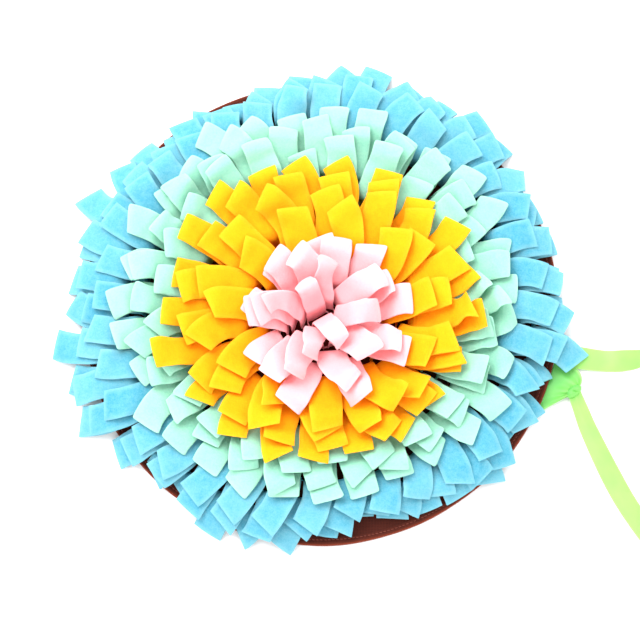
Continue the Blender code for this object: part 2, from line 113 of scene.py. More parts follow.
# Its tails: cup across, wave along, pitch and phase of the wave; then the pleats of the knotted tail: depth,
# number and the length over which they fade. A wave fades in over SWELL_FROM and slants by SWELL_SLANT radians at
# the edge. The fold is painted darker, a painted shade, which fades out with the length along the ribbon, counted
# up to TONE_FROM in the fold and on in the tails.
STRAIGHT_SWELL = (0.0006, 0.0003, 0.047, 0.4)
KNOTTED_SWELL = (0.0008, 0.0003, 0.061, 1.9)
KNOTTED_PLEATS = (0.0009, 2.0, 0.014)
SWELL_FROM = 0.02
SWELL_SLANT = 0.8
TONE_FROM = 0.02

# Its knot: how flat it is pressed, its creases (places round it, slant, depth, width) and the slot across its top
# (place along and round, slant, depth, width, length), places in radians. Round it, the painted shade of the fold
# fades as it does over the length KNOT_TONE of ribbon, so that the knot is painted darker on one side.
KNOT_PRESS = 0.72
KNOT_CREASES = ((0.6, 1.3, 2.3), 0.5, 0.12, 0.04)
KNOT_SLOT = (1.45, 1.9, 0.3, 0.68, 0.045, 0.60)
KNOT_TONE = 0.03

# x, y, height of the underside, width, roll (degrees, its left edge up)
STRAIGHT_TAIL = [
    (0.2075, -0.0430, 0.0013, 0.0190, 0),
    (0.2280, -0.0462, 0.0022, 0.0200, 0),
    (0.2520, -0.0485, 0.0001, 0.0190, 0),
    (0.2700, -0.0485, 0.0001, 0.0190, 30),
    (0.2860, -0.0470, 0.0001, 0.0190, 52),
    (0.3030, -0.0490, 0.0001, 0.0190, 20),
    (0.3220, -0.0560, 0.0001, 0.0190, 0),
    (0.3420, -0.0660, 0.0001, 0.0190, 0),
]
KNOTTED_TAIL = [
    (0.2197, -0.0760, 0.0050, 0.0110, 0),
    (0.2260, -0.0920, 0.0016, 0.0135, 0),
    (0.2335, -0.1120, 0.0001, 0.0155, 0),
    (0.2500, -0.1490, 0.0001, 0.0180, 0),
    (0.2665, -0.1800, 0.0001, 0.0180, 0),
    (0.2900, -0.2120, 0.0001, 0.0190, 0),
    (0.3180, -0.2380, 0.0001, 0.0190, 0),
]

# Laying: the heap is a grid of the height reached so far
HEAP_CELL = 0.00125
HEAP_REACH = 0.275
CLEARANCE = 0.0007
EDGE_CLEARANCE = 0.002
FREE_REACH = 0.009
LAY_STEP = 0.0015
LAY_SPREAD = 3
ACROSS = np.linspace(-1.0, 1.0, 17)
BANK = 0.4
FULL_SWIRL_REACH = 0.034
MOST_SPREADS = 1.5
ROLL_SPREAD = 4
ROOT_ANGLE = 88
BEND = 3.6
PROFILE_POINTS = 161
NO_FLOOR = -1.0
SETTLE_ROUNDS = 30
LIFT_ROUNDS = 4
MOST_TILT = 0.8
BEND_WEIGHT = 0.012
FACE_FILL = 10
COVER_STATIONS = 56
COVER_ACROSS = 27
LEAST_UPRIGHT = 0.25

# Share of its lean by which a strip of each cloth sets out the other way, so that it curves
LEAN_BACK = {"felt_blue": 0.3, "fleece_mint": 0.5, "felt_yellow": 0.5, "fleece_pink": 0.4}

# Two lines for each ring, the outermost first:
# name, cloth, centre (x, y), root radius, locks, tip radius,
# stalk: how far a lock stands straight up before it bends, angle at the tip (degrees above level),
# swirl: how far the tips lean round the mat, stray: spread of that lean, curl: spread of the tip angle,
# ragged: spread of the reach, follows: share of OUTLINE that the ring takes up
RINGS = [
    ("blue_outer", "felt_blue", (0, 0), 0.186, 41, 0.216,
     0.002, -32, -0.008, 0.005, 7, 0.006, 1.0),
    ("blue_middle", "felt_blue", (0, 0), 0.171, 39, 0.210,
     0.005, -24, -0.009, 0.005, 7, 0.005, 0.75),
    ("blue_inner", "felt_blue", (0, 0), 0.155, 36, 0.200,
     0.007, -22, -0.009, 0.004, 7, 0.003, 0.4),
    ("mint_outer", "fleece_mint", (-0.003, -0.001), 0.136, 31, 0.178,
     0.007, -32, 0.004, 0.006, 10, 0.005, 0.0),
    ("mint_middle", "fleece_mint", (-0.003, -0.002), 0.121, 28, 0.164,
     0.009, -30, 0.004, 0.006, 10, 0.005, 0.0),
    ("mint_inner", "fleece_mint", (-0.003, -0.004), 0.106, 24, 0.149,
     0.011, -28, 0.003, 0.006, 10, 0.005, 0.0),
    ("yellow_outer", "felt_yellow", (-0.001, -0.008), 0.091, 21, 0.135,
     0.012, -26, 0.006, 0.005, 8, 0.003, 0.0),
    ("yellow_second", "felt_yellow", (0, -0.010), 0.078, 17, 0.125,
     0.013, -26, 0.007, 0.005, 8, 0.003, 0.0),
    ("yellow_third", "felt_yellow", (0.001, -0.012), 0.065, 14, 0.113,
     0.014, -28, 0.008, 0.005, 8, 0.003, 0.0),
    ("yellow_inner", "felt_yellow", (0.003, -0.015), 0.053, 11, 0.099,
     0.015, -30, 0.008, 0.005, 8, 0.004, 0.0),
    ("pink_outer", "fleece_pink", (0.003, -0.016), 0.0418, 9, 0.077,
     0.017, -35, 0.000, 0.007, 10, 0.005, 0.0),
    ("pink_second", "fleece_pink", (0.001, -0.0145), 0.0330, 7, 0.068,
     0.018, -42, 0.002, 0.007, 10, 0.004, 0.0),
    ("pink_third", "fleece_pink", (-0.001, -0.013), 0.0243, 5, 0.057,
     0.019, -50, 0.002, 0.007, 10, 0.004, 0.0),
    ("pink_inner", "fleece_pink", (-0.002, -0.012), 0.0158, 4, 0.046,
     0.020, -58, 0.003, 0.006, 8, 0.003, 0.0),
    ("pink_heart", "fleece_pink", (-0.002, -0.012), 0.0102, 2, 0.033,
     0.022, -65, 0.003, 0.001, 5, 0.001, 0.0),
]

# How far the fringe reaches round the mat:
# azimuth (degrees, counter-clockwise from +X), tip radius of the outer ring
OUTLINE = [
    (2, 0.229), (12, 0.222), (31, 0.221), (48, 0.224), (64, 0.229), (81, 0.227),
    (95, 0.223), (109, 0.212), (121, 0.217), (132, 0.213), (145, 0.228), (162, 0.234),
    (179, 0.223), (193, 0.236), (209, 0.238), (231, 0.219), (245, 0.222), (261, 0.217),
    (279, 0.205), (300, 0.207), (316, 0.225), (329, 0.212), (342, 0.211), (349, 0.233),
]
OUTLINE_MEAN = 0.2225

# Azimuths (degrees) where the two outer rings part and the hem shows between their locks
PARTINGS = [11, 41, 77, 112, 154, 212, 237, 257, 302, 322, 342]
PARTED_RINGS = ("blue_outer", "blue_middle")
PARTING_REACH = 5.0
PARTING_PUSH = 0.005

# How far the circle of a ring's tips lies off the circle of its roots: (x, y)
TIP_SHIFTS = {
    "pink_outer": (0.002, -0.004),
    "pink_second": (0.003, -0.006),
    "pink_third": (0.003, -0.006),
    "pink_inner": (0.003, -0.005),
    "pink_heart": (0.003, -0.004),
}

# Locks that lie well out of their ring: ring, azimuth (degrees), extra reach, extra lean
STRAYS = [
    ("yellow_outer", 31, 0.010, 0.006),
    ("yellow_outer", 204, 0.014, -0.004),
    ("yellow_outer", 350, 0.007, 0.004),
    ("pink_outer", 268, 0.010, 0.0),
    ("pink_outer", 252, 0.006, 0.0),
]

# cloth: crown across a strip, ripple of its edges, waviness along it, greatest skew of its cut end (degrees),
# radius of the corners of its cut end
CLOTH_FORMS = {
    "felt_blue": (0.0010, 0.0006, 0.0005, 13.0, 0.0005),
    "felt_yellow": (0.0012, 0.0007, 0.0006, 12.0, 0.0006),
    "fleece_mint": (0.0013, 0.0010, 0.0009, 13.0, 0.0018),
    "fleece_pink": (0.0014, 0.0009, 0.0007, 11.0, 0.0012),
}
STRIP_ROWS = 26
CORNER_STEPS = np.array([1.0, 0.62, 0.3, 0.08, 0.0])
FINE_BEND_WEIGHT = 0.010
SHARP_FROM = 50
SMOOTH_SPACING = 0.001
SMOOTH_REACH = 3
FEWEST_STATIONS = 12
SKEW_POWER = 4
EXPOSED = (0.25, 0.75)
CROWN_SPREAD = (0.3, 1.3)
CROWN_LEVEL = 0.4
HIDDEN_CROWN = 0.35
RIPPLE_PITCH = (0.022, 0.034)
HAND_CUT = 0.018
# Within these distances of the cut end and of the sides, the strips are painted paler, a painted highlight along
# their edges
EDGE_HIGHLIGHT_LENGTH = 0.003
EDGE_HIGHLIGHT_WIDTH = 0.0016

# Root strip under each ring: its thickness as a share of a lock's, and its steps round
BAND_THICKNESS = 0.55
BAND_STEPS = 120

# How deep light passes into cloth
GLOW_DEPTH = 0.003

# Studio
FLOOR_GAP = 0.0002
FLOOR_CLOUD = 0.4
FLOOR_TONE = 0.98
FLOOR_ROUGHNESS = 0.9
SENSOR_WIDTH = 36.0
LAMP_PLACE = (-0.7, 0.8, 1.8)

# Section of a strip, half of its loop: place across (-1 to 1), height in it (-1 to 1)
FELT_SECTION = [(-1.0, 0.86), (-0.985, 1.0), (-0.66, 1.0), (-0.33, 1.0), (0.0, 1.0), (0.33, 1.0), (0.66, 1.0),
                (0.985, 1.0), (1.0, 0.86)]
FLEECE_SECTION = [(-1.0, 0.0), (-0.985, 0.55), (-0.94, 0.85), (-0.84, 1.0), (-0.5, 1.0), (0.0, 1.0), (0.5, 1.0),
                  (0.84, 1.0), (0.94, 0.85), (0.985, 0.55), (1.0, 0.0)]


# Mesh helpers


def mesh_piece(name, points, quads, caps=(), smooth_below=None):
    """A mesh object at the origin from an array of points, an array of quads and a list of end faces. Its faces
    are smooth, with edges sharper than smooth_below degrees kept sharp."""
    mesh = bpy.data.meshes.new(name)
    sizes = np.concatenate([np.full(len(quads), 4), np.array([len(cap) for cap in caps], int)])
    corners = np.concatenate([np.asarray(quads).ravel(), *[np.asarray(cap) for cap in caps]]).astype(np.int32)
    mesh.vertices.add(len(points))
    mesh.vertices.foreach_set("co", np.asarray(points, np.float32).ravel())
    mesh.loops.add(len(corners))
    mesh.loops.foreach_set("vertex_index", corners)
    mesh.polygons.add(len(sizes))
    mesh.polygons.foreach_set("loop_start", (np.cumsum(sizes) - sizes).astype(np.int32))
    mesh.polygons.foreach_set("use_smooth", np.ones(len(sizes), bool))
    mesh.update(calc_edges=True)
    mesh.validate()
    if smooth_below is not None:
        mesh.set_sharp_from_angle(angle=math.radians(smooth_below))
    made = bpy.data.objects.new(name, mesh)
    bpy.context.scene.collection.objects.link(made)
    return made


def point_values(piece, name, values):
    """Stores one number for each point of a piece, for its material to read."""
    found = piece.data.attributes.new(name, "FLOAT", "POINT")
    found.data.foreach_set("value", np.asarray(values, np.float32).ravel())


def tube_quads(rows, columns, first=0):
    """The quads of a grid of rows whose columns close into a loop, with the rows left open at both ends."""
    row = np.arange(rows - 1)[:, None] * columns
    here = np.arange(columns)[None, :]
    there = (here + 1) % columns
    quads = np.stack([row + here, row + columns + here, row + columns + there, row + there], axis=-1)
    return quads.reshape(-1, 4) + first


def tube_caps(rows, columns, first=0):
    """The two end faces of such a tube."""
    return [first + np.arange(columns), first + (rows - 1) * columns + np.arange(columns)[::-1]]


def ring_quads(steps, columns, first=0, closed=True):
    """The quads of a profile of columns carried once round and joined to its start."""
    here = np.arange(steps)[:, None] * columns
    there = (np.arange(steps) + 1)[:, None] % steps * columns
    c = np.arange(columns if closed else columns - 1)[None, :]
    d = (c + 1) % columns
    return np.stack([here + c, there + c, there + d, here + d], axis=-1).reshape(-1, 4) + first


def fan(pole, here, there):
    """Triangles from one pole point to each side of a loop, whose sides run from here to there."""
    return [*np.stack([np.full(len(here), pole), here, there], axis=1)]


def finish_piece(piece, material, node=None):
    """Gives a piece its material and body, and hides the solid that it stands for."""
    piece.data.materials.append(material)
    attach(piece, "root")
    if node:
        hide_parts(node)
    return piece


# Laying the strips


def outward(azimuth):
    """The level direction from the axis at an azimuth."""
    return np.array([math.cos(azimuth), math.sin(azimuth), 0.0])


class Heap:
    """The height of the topmost cloth over each spot of the floor, on a square grid."""

    def __init__(self):
        side = np.arange(-HEAP_REACH, HEAP_REACH, HEAP_CELL)
        x, y = np.meshgrid(side, side, indexing="ij")
        on_base = np.hypot(x, y) < BASE_RADIUS + EDGE_CLEARANCE
        self.top = np.where(on_base, HEM_THICKNESS + EDGE_CLEARANCE - CLEARANCE, 0.0)

    def cells(self, places):
        """The cell under each place, as its row and its column."""
        found = np.rint((places[..., :2] + HEAP_REACH) / HEAP_CELL).astype(int)
        return np.clip(found, 1, self.top.shape[0] - 2)

    def over(self, places):
        """The height of the heap at each place."""
        cells = self.cells(places)
        return self.top[cells[..., 0], cells[..., 1]]

    def cover(self, places, heights):
        """Raises the heap to these heights at these places and at the cells round each."""
        cells = self.cells(places)
        for east in (-1, 0, 1):
            for north in (-1, 0, 1):
                np.maximum.at(self.top, (cells[..., 0] + east, cells[..., 1] + north), heights)


def free_profile(length_out, stalk, tip_angle, reach):
    """Height of an unsupported lock at each distance out in reach. It stands straight for its stalk, then its
    angle falls off towards tip_angle, and it is as long as it takes to come length_out from its root."""
    share = np.linspace(0.0, 1.0, PROFILE_POINTS)
    angle = np.radians(tip_angle + (ROOT_ANGLE - tip_angle) * (1 - share) ** BEND)
    middle = (angle[1:] + angle[:-1]) / 2
    out = np.concatenate([[0.0], np.cumsum(np.cos(middle))])
    up = np.concatenate([[0.0], np.cumsum(np.sin(middle))])
    foot_out = stalk / math.tan(math.radians(ROOT_ANGLE))
    scale = (length_out - foot_out) / out[-1]
    out = np.concatenate([[0.0], foot_out + out * scale])
    up = np.concatenate([[0.0], stalk + up * scale])
    return np.interp(reach, out, up)


def widened(rise):
    """The rise spread over its neighbours and then averaged: smooth, and nowhere lower than before."""
    padded = np.pad(rise, LAY_SPREAD, mode="edge")
    windows = np.lib.stride_tricks.sliding_window_view(padded, 2 * LAY_SPREAD + 1)
    highest = np.pad(windows.max(axis=1), LAY_SPREAD, mode="edge")
    return np.lib.stride_tricks.sliding_window_view(highest, 2 * LAY_SPREAD + 1).mean(axis=1)


def lay_lock(heap, foot, azimuth, width, length_out, stalk, tip_angle, drift, lean_back, roll):
    """Lays one lock on the heap: its free curve, swept aside by drift times the square of the way out and rolled
    about its middle, is raised until no spot across it is under the heap. Returns its centre line, its side
    directions, the height of its left side over its middle, and the length along it at each point of the line."""
    out = outward(azimuth)
    side = np.array([-out[1], out[0], 0.0])
    reach = np.append(np.arange(0.0, length_out - LAY_STEP / 2, LAY_STEP), length_out)
    share = reach / length_out
    bow = drift * (share ** 2 - lean_back * share) / (1 - lean_back)
    plan = foot + np.outer(reach, out) + np.outer(bow, side)
    heading = np.arctan2(drift * (2 * share - lean_back) / (1 - lean_back), length_out)
    across = np.outer(np.cos(heading), side) - np.outer(np.sin(heading), out)

    height = ROOT_TOP + free_profile(length_out, stalk, tip_angle, reach)
    slope = np.gradient(height, reach)
    lean = width / 2 * np.sin(roll + BANK * heading) * share
    half_thick = LOCK_THICKNESS / 2 * np.sqrt(1 + slope ** 2)
    spots = plan[:, None, :] + across[:, None, :] * (ACROSS[None, :, None] * width / 2)
    floor = heap.over(spots) + CLEARANCE + np.minimum(half_thick, 2 * LOCK_THICKNESS)[:, None]
    floor[reach < FREE_REACH] = NO_FLOOR

    centre, tilt = height.copy(), lean.copy()
    for _ in range(SETTLE_ROUNDS):
        gap = floor - (centre[:, None] + tilt[:, None] * ACROSS[None, :])
        worst = gap.argmax(axis=1)
        short = np.maximum(gap[np.arange(len(reach)), worst], 0.0)
        where = ACROSS[worst]
        centre += short / (1 + where ** 2)
        tilt += short * where / (1 + where ** 2)
    left = np.maximum(centre - tilt - (height - lean), 0.0)
    right = np.maximum(centre + tilt - (height + lean), 0.0)
    ease = np.clip(reach / FREE_REACH, 0, 1) ** 2
    left, right = widened(left) * ease, widened(right) * ease
    centre = height + (left + right) / 2
    tilt = lean + (right - left) / 2

    # its solid has flat faces, so it is lifted wherever such a face would still cut into what lies under it
    for _ in range(LIFT_ROUNDS):
        line = np.column_stack([plan[:, :2], centre])
        along = np.concatenate([[0.0], np.cumsum(np.linalg.norm(np.diff(line, axis=0), axis=1))])
        centres, halves, normals = faces_of(line, across, tilt, along, width)
        under = centres[:, None, :] + halves[:, None, :] * ACROSS[None, :, None]
        under = under - normals[:, None, :] * LOCK_THICKNESS / 2
        short = (heap.over(under) + CLEARANCE / 2 - under[..., 2]).max(axis=1)
        at = (centres - foot) @ out
        short[at < FREE_REACH] = 0.0
        lift = widened(np.interp(reach, at, np.maximum(short, 0.0))) * ease
        if lift.max() <= 0:
            break
        centre = centre + lift
    return line, across, tilt, along


def at_stations(at, known, values):
    """Each column of values, known at the places in known, read at the places in at."""
    return np.stack([np.interp(at, known, values[:, k]) for k in range(values.shape[1])], axis=1)


def squared(centres, sides, lift, width):
    """Unit side directions that rise by lift over half the width, and the normals square to them and to the line,
    as their cross product."""
    sine = np.clip(lift / (width / 2), -MOST_TILT, MOST_TILT)
    sides = sides / np.linalg.norm(sides, axis=1)[:, None] * np.sqrt(1 - sine ** 2)[:, None]
    sides[:, 2] = sine
    normals = np.cross(np.gradient(centres, axis=0), sides)
    return sides, normals / np.linalg.norm(normals, axis=1)[:, None]


def stations_of(line, across, tilt, along, width, count):
    """Centre points, half-width vectors and normals at count + 1 stations of a lock, closer at its bend."""
    steps = np.diff(line, axis=0)
    angle = np.unwrap(np.arctan2(steps[:, 2], np.linalg.norm(steps[:, :2], axis=1)))
    turn = np.abs(np.diff(angle, prepend=angle[0]))
    weight = np.concatenate([[0.0], np.cumsum(np.diff(along) + BEND_WEIGHT * turn)])
    at = np.interp(np.linspace(0.0, weight[-1], count + 1), weight, along)
    centres, sides = at_stations(at, along, line), at_stations(at, along, across)
    sides, normals = squared(centres, sides, np.interp(at, along, tilt), width)
    return centres, sides * width / 2, normals


def faces_of(line, across, tilt, along, width):
    """The stations of the flat-faced lock as it is built, filled in evenly between them."""
    stations = stations_of(line, across, tilt, along, width, LOCK_SEGMENTS)
    at = np.linspace(0, LOCK_SEGMENTS, FACE_FILL * LOCK_SEGMENTS + 1)
    return [at_stations(at, np.arange(LOCK_SEGMENTS + 1), values) for values in stations]


def parting_push(azimuth):
    """How far a lock at this azimuth leans away from the nearest parting."""
    away = (np.degrees(azimuth) - np.array(PARTINGS) + 180) % 360 - 180
    nearest = away[np.abs(away).argmin()]
    return math.copysign(max(0.0, 1 - abs(nearest) / (2 * PARTING_REACH)), nearest) * PARTING_PUSH


def cover(heap, stations):
    """Raises the heap to the top of a laid lock."""
    centres, halves, normals = stations
    places = centres[:, None, :] + halves[:, None, :] * np.linspace(-1, 1, COVER_ACROSS)[None, :, None]
    upright = np.maximum(np.abs(normals[:, 2]), LEAST_UPRIGHT)
    heights = places[..., 2] + (LOCK_THICKNESS / 2 / upright)[:, None]
    heap.cover(places, heights)


def spread(chance):
    """A chance number about 0 with a spread of 1 and no far strays."""
    return np.clip(chance.normal(), -MOST_SPREADS, MOST_SPREADS)


def lay_rings():
    """Lays every lock of every ring, from the rim inwards. Returns each ring's centre, radius, lock width
    and locks, in their order round it."""
    chance = np.random.default_rng(SEED)
    heap = Heap()
    for piece in tie_surfaces():
        heap.cover(piece, piece[..., 2] + TIE_THICKNESS / 2 + EDGE_CLEARANCE - CLEARANCE)
    laid = {}
    for name, cloth, centre, radius, count, tip_radius, *form in RINGS:
        stalk, tip_angle, swirl, stray, curl, ragged, follows = form
        pitch = 2 * math.pi / count
        width = 2 * radius * math.sin(pitch / 2) - LOCK_GAP
        foot_radius = math.sqrt(radius ** 2 - (width / 2) ** 2)
        shift = TIP_SHIFTS.get(name, (0.0, 0.0))
        phase = chance.uniform(0, pitch)
        azimuths = phase + np.arange(count) * pitch
        extra = np.zeros((count, 2))
        for ring, at, reach_more, lean_more in STRAYS:
            if ring == name:
                off = (np.degrees(azimuths) - at + 180) % 360 - 180
                extra[np.abs(off).argmin()] = reach_more, lean_more
        locks = [None] * count
        for index in chance.permutation(count):
            azimuth = azimuths[index]
            outline = np.interp(np.degrees(azimuth), *zip(*OUTLINE), period=360) - OUTLINE_MEAN
            length_out = tip_radius + follows * outline - foot_radius
            length_out += ragged * spread(chance) + extra[index, 0]
            length_out += shift[0] * math.cos(azimuth) + shift[1] * math.sin(azimuth)
            drift = swirl + stray * spread(chance) + extra[index, 1]
            if name in PARTED_RINGS:
                drift += parting_push(azimuth)
            drift *= min(1.0, (length_out / FULL_SWIRL_REACH) ** 2)
            own_tip = tip_angle + curl * spread(chance)
            roll = chance.normal(0, math.radians(ROLL_SPREAD))
            foot = np.array([*centre, 0.0]) + foot_radius * outward(azimuth)
            line = lay_lock(
                heap, foot, azimuth, width, length_out, stalk, own_tip, drift, LEAN_BACK[cloth], roll
            )
            cover(heap, stations_of(*line, width, COVER_STATIONS))
            cover(heap, faces_of(*line, width))
            locks[index] = line
        laid[name] = (centre, radius, width, locks)
    return laid


def through(table, count):
    """count points on a smooth curve through the rows of a table: a cubic between each two rows, whose slope at a
    row is half the way from the row before to the row after."""
    rows = np.array(table, float)
    ahead = np.diff(rows, axis=0)
    slopes = np.concatenate([ahead[:1], (ahead[1:] + ahead[:-1]) / 2, ahead[-1:]])
    at = np.linspace(0.0, len(rows) - 1, count)
    first = np.minimum(at.astype(int), len(rows) - 2)
    t = (at - first)[:, None]
    start, end = rows[first], rows[first + 1]
    return (
        start * (2 * t ** 3 - 3 * t ** 2 + 1) + end * (3 * t ** 2 - 2 * t ** 3)
        + slopes[first] * (t ** 3 - 2 * t ** 2 + t) + slopes[first + 1] * (t ** 3 - t ** 2)
    )


def tail_surface(table, along, across):
    """The middle surface of a ribbon tail: the curve through its table plus its left direction, turned up by its
    roll, times its width and the place across. Its lower edge stays at the table's height."""
    rows = through(table, along)
    heading = np.gradient(rows[:, :2], axis=0)
    heading /= np.linalg.norm(heading, axis=1)[:, None]
    roll = np.radians(rows[:, 4])
    left = np.stack([-heading[:, 1] * np.cos(roll), heading[:, 0] * np.cos(roll), np.sin(roll)], axis=1)
    centre = rows[:, :3].copy()
    centre[:, 2] += rows[:, 3] / 2 * np.sin(roll) + TIE_THICKNESS / 2 * np.cos(roll)
    reach = np.linspace(-0.5, 0.5, across)
    return centre[:, None, :] + left[:, None, :] * rows[:, None, 3:4] * reach[None, :, None]


def fold_surface(along, across):
    """The middle surface of the folded ribbon, wide at the hem and narrow at the knot. Each point lies on a straight
    line from the rim to the knot, moved out by a bow of four times the way there times the way back, and it
    rises with a power of the way there."""
    share = np.linspace(0.0, 1.0, across)[None, :]
    toward = np.linspace(0.0, 1.0, along)[:, None]
    seam = np.radians(TIE_SEAM_ANGLES[0] + (TIE_SEAM_ANGLES[1] - TIE_SEAM_ANGLES[0]) * share)
    radius = BASE_RADIUS + SEAM_GAP
    turn = math.radians(KNOT_TURN)
    across_knot = KNOT_HALF_SIZE[0] * FOLD_FILL * (1 - 2 * share)
    x = (1 - toward) * radius * np.cos(seam) + toward * (KNOT_CENTRE[0] + across_knot * math.cos(turn))
    y = (1 - toward) * radius * np.sin(seam) + toward * (KNOT_CENTRE[1] + across_knot * math.sin(turn))
    bow = 4 * toward * (1 - toward) * (1 - share) ** 2
    z = TIE_SEAM_HEIGHT + (KNOT_CENTRE[2] - TIE_SEAM_HEIGHT) * toward ** FOLD_RISE + 0 * share
    return np.stack([x + FOLD_BOW[0] * bow, y + FOLD_BOW[1] * bow, z], axis=-1)


def knot_angles(around, along):
    """The two angles of the knot's points: round it, as a row, and from pole to pole, as a column."""
    lap = np.linspace(0.0, 2 * math.pi, around, endpoint=False)[None, :]
    pole = np.linspace(0.0, math.pi, along)[:, None]
    return lap, pole


def knot_points(around, along):
    """The knot's surface: a lying egg shape, long across the tail that leaves it. Each of its three half sizes is
    multiplied by the cosine or the sines of its two angles, and it is turned."""
    lap, pole = knot_angles(around, along)
    x = KNOT_HALF_SIZE[0] * np.cos(pole) + 0 * lap
    y = KNOT_HALF_SIZE[1] * np.sin(pole) * np.cos(lap)
    z = KNOT_HALF_SIZE[2] * np.sin(pole) * np.sin(lap)
    turn = math.radians(KNOT_TURN)
    return np.stack([
        KNOT_CENTRE[0] + x * math.cos(turn) - y * math.sin(turn),
        KNOT_CENTRE[1] + x * math.sin(turn) + y * math.cos(turn),
        KNOT_CENTRE[2] + z,
    ], axis=-1)


def tie_surfaces():
    """The tie's three cloth surfaces and the top of its knot, sampled finely for laying locks over them."""
    return [
        tail_surface(STRAIGHT_TAIL, along=90, across=17),
        tail_surface(KNOTTED_TAIL, along=90, across=17),
        fold_surface(along=40, across=41),
        knot_points(around=16, along=24),
    ]


# Strips


def evened(line, across, tilt, along, width):
    """A laid lock's centre line at even spacing, with its unit side vectors and normals. Each value is averaged
    over its neighbours under a bell-shaped weight, and mirrored at the ends so that the ends stay in place."""
    count = max(FEWEST_STATIONS, round(along[-1] / SMOOTH_SPACING))
    at = np.linspace(0.0, along[-1], count + 1)
    even = at_stations(at, along, np.column_stack([line, across, tilt]))
    before = 2 * even[0] - even[SMOOTH_REACH:0:-1]
    after = 2 * even[-1] - even[-2:-2 - SMOOTH_REACH:-1]
    padded = np.concatenate([before, even, after])
    weight = np.hanning(2 * SMOOTH_REACH + 3)[1:-1]
    weight /= weight.sum()
    soft = np.stack([np.convolve(padded[:, k], weight, mode="valid") for k in range(padded.shape[1])], axis=1)
    centre = soft[:, :3]
    return at, centre, *squared(centre, soft[:, 3:6], soft[:, 6], width)


def strip_points(line, width, form, section, chance):
    """One strip as a grid of points, rows along it and a closed loop of columns round its section: the centre
    line, plus the side times half the width times the place across, plus the normal times the lift and half the
    thickness. The lift is a crown that falls with the square of the place across, a sine wave along the strip that
    is opposite at its two edges, and a second one that is the same across. The cut end is skewed by a power of
    the way along, and its corners are quarter circles. Returns the grid and how near each point is to a cut
    edge, from 0 to 1."""
    crown, ripple, wave, most_skew, corner = form
    at, centre, side, normal = evened(*line, width)
    length = at[-1]

    steps = np.diff(centre, axis=0)
    slope = np.unwrap(np.arctan2(steps[:, 2], np.linalg.norm(steps[:, :2], axis=1)))
    turn = np.abs(np.diff(slope, prepend=slope[0]))
    weight = np.concatenate([[0.0], np.cumsum(np.diff(at) + FINE_BEND_WEIGHT * turn)])
    rows = np.interp(np.linspace(0.0, weight[-1], STRIP_ROWS), weight, at) * (length - corner) / length
    rows = np.concatenate([rows[:-1], length - corner * CORNER_STEPS])
    past = np.clip(rows - (length - corner), 0.0, corner) / corner
    half_width = width / 2 - corner * (1 - np.sqrt(1 - past ** 2))

    half_loop = np.array(section)
    u = np.concatenate([half_loop[:, 0], half_loop[::-1, 0]])[None, :]
    v = np.concatenate([half_loop[:, 1], -half_loop[::-1, 1]])[None, :]
    share = (rows / length)[:, None]

    skew = math.tan(math.radians(chance.uniform(-most_skew, most_skew)))
    place = rows[:, None] - share ** SKEW_POWER * abs(skew) * (1 + np.sign(skew) * u) * width / 2
    found = [np.interp(place, at, values[:, k]) for values in (centre, side, normal) for k in range(3)]
    centre, side, normal = (np.stack(found[k:k + 3], axis=-1) for k in (0, 3, 6))

    exposed = np.clip((share - EXPOSED[0]) / (EXPOSED[1] - EXPOSED[0]), 0, 1) ** 2
    own_crown = crown * chance.uniform(*CROWN_SPREAD) * (HIDDEN_CROWN + (1 - HIDDEN_CROWN) * exposed)
    phase = chance.uniform(0, 2 * math.pi, 3)
    pitch = chance.uniform(*RIPPLE_PITCH, 3)
    lift = own_crown * (CROWN_LEVEL - u ** 2)
    lift = lift + ripple * exposed * u * np.sin(2 * math.pi * place / pitch[0] + phase[0])
    lift = lift + wave * exposed * np.sin(2 * math.pi * place / pitch[1] + phase[1])
    hand_cut = 1 + HAND_CUT * np.sin(2 * math.pi * place / pitch[2] + phase[2])

    points = centre + side * (u * half_width[:, None] * hand_cut)[..., None]
    points = points + normal * (lift + v * LOCK_THICKNESS / 2)[..., None]
    # How near each point is to a cut edge, for the painted highlight along the edges
    to_end = (length - rows)[:, None] / EDGE_HIGHLIGHT_LENGTH
    to_side = (1 - np.abs(u)) * width / 2 / EDGE_HIGHLIGHT_WIDTH
    edge_highlight = np.exp(-np.minimum(to_end + 0 * u, to_side + 0 * share) ** 2)
    return points, edge_highlight


def root_band(centre, radius):
    """The narrow strip of cloth that joins the locks at their feet: a rectangle carried round the ring, its two
    radii times the cosine and the sine of the angle."""
    half = BAND_THICKNESS * LOCK_THICKNESS / 2
    turn = np.linspace(0, 2 * math.pi, BAND_STEPS, endpoint=False)[:, None]
    r = radius + np.array([-half, half, half, -half])[None, :]
    z = np.array([ROOT_BOTTOM, ROOT_BOTTOM, ROOT_TOP, ROOT_TOP])[None, :] + 0 * turn
    return np.stack([centre[0] + r * np.cos(turn), centre[1] + r * np.sin(turn), z], axis=-1)


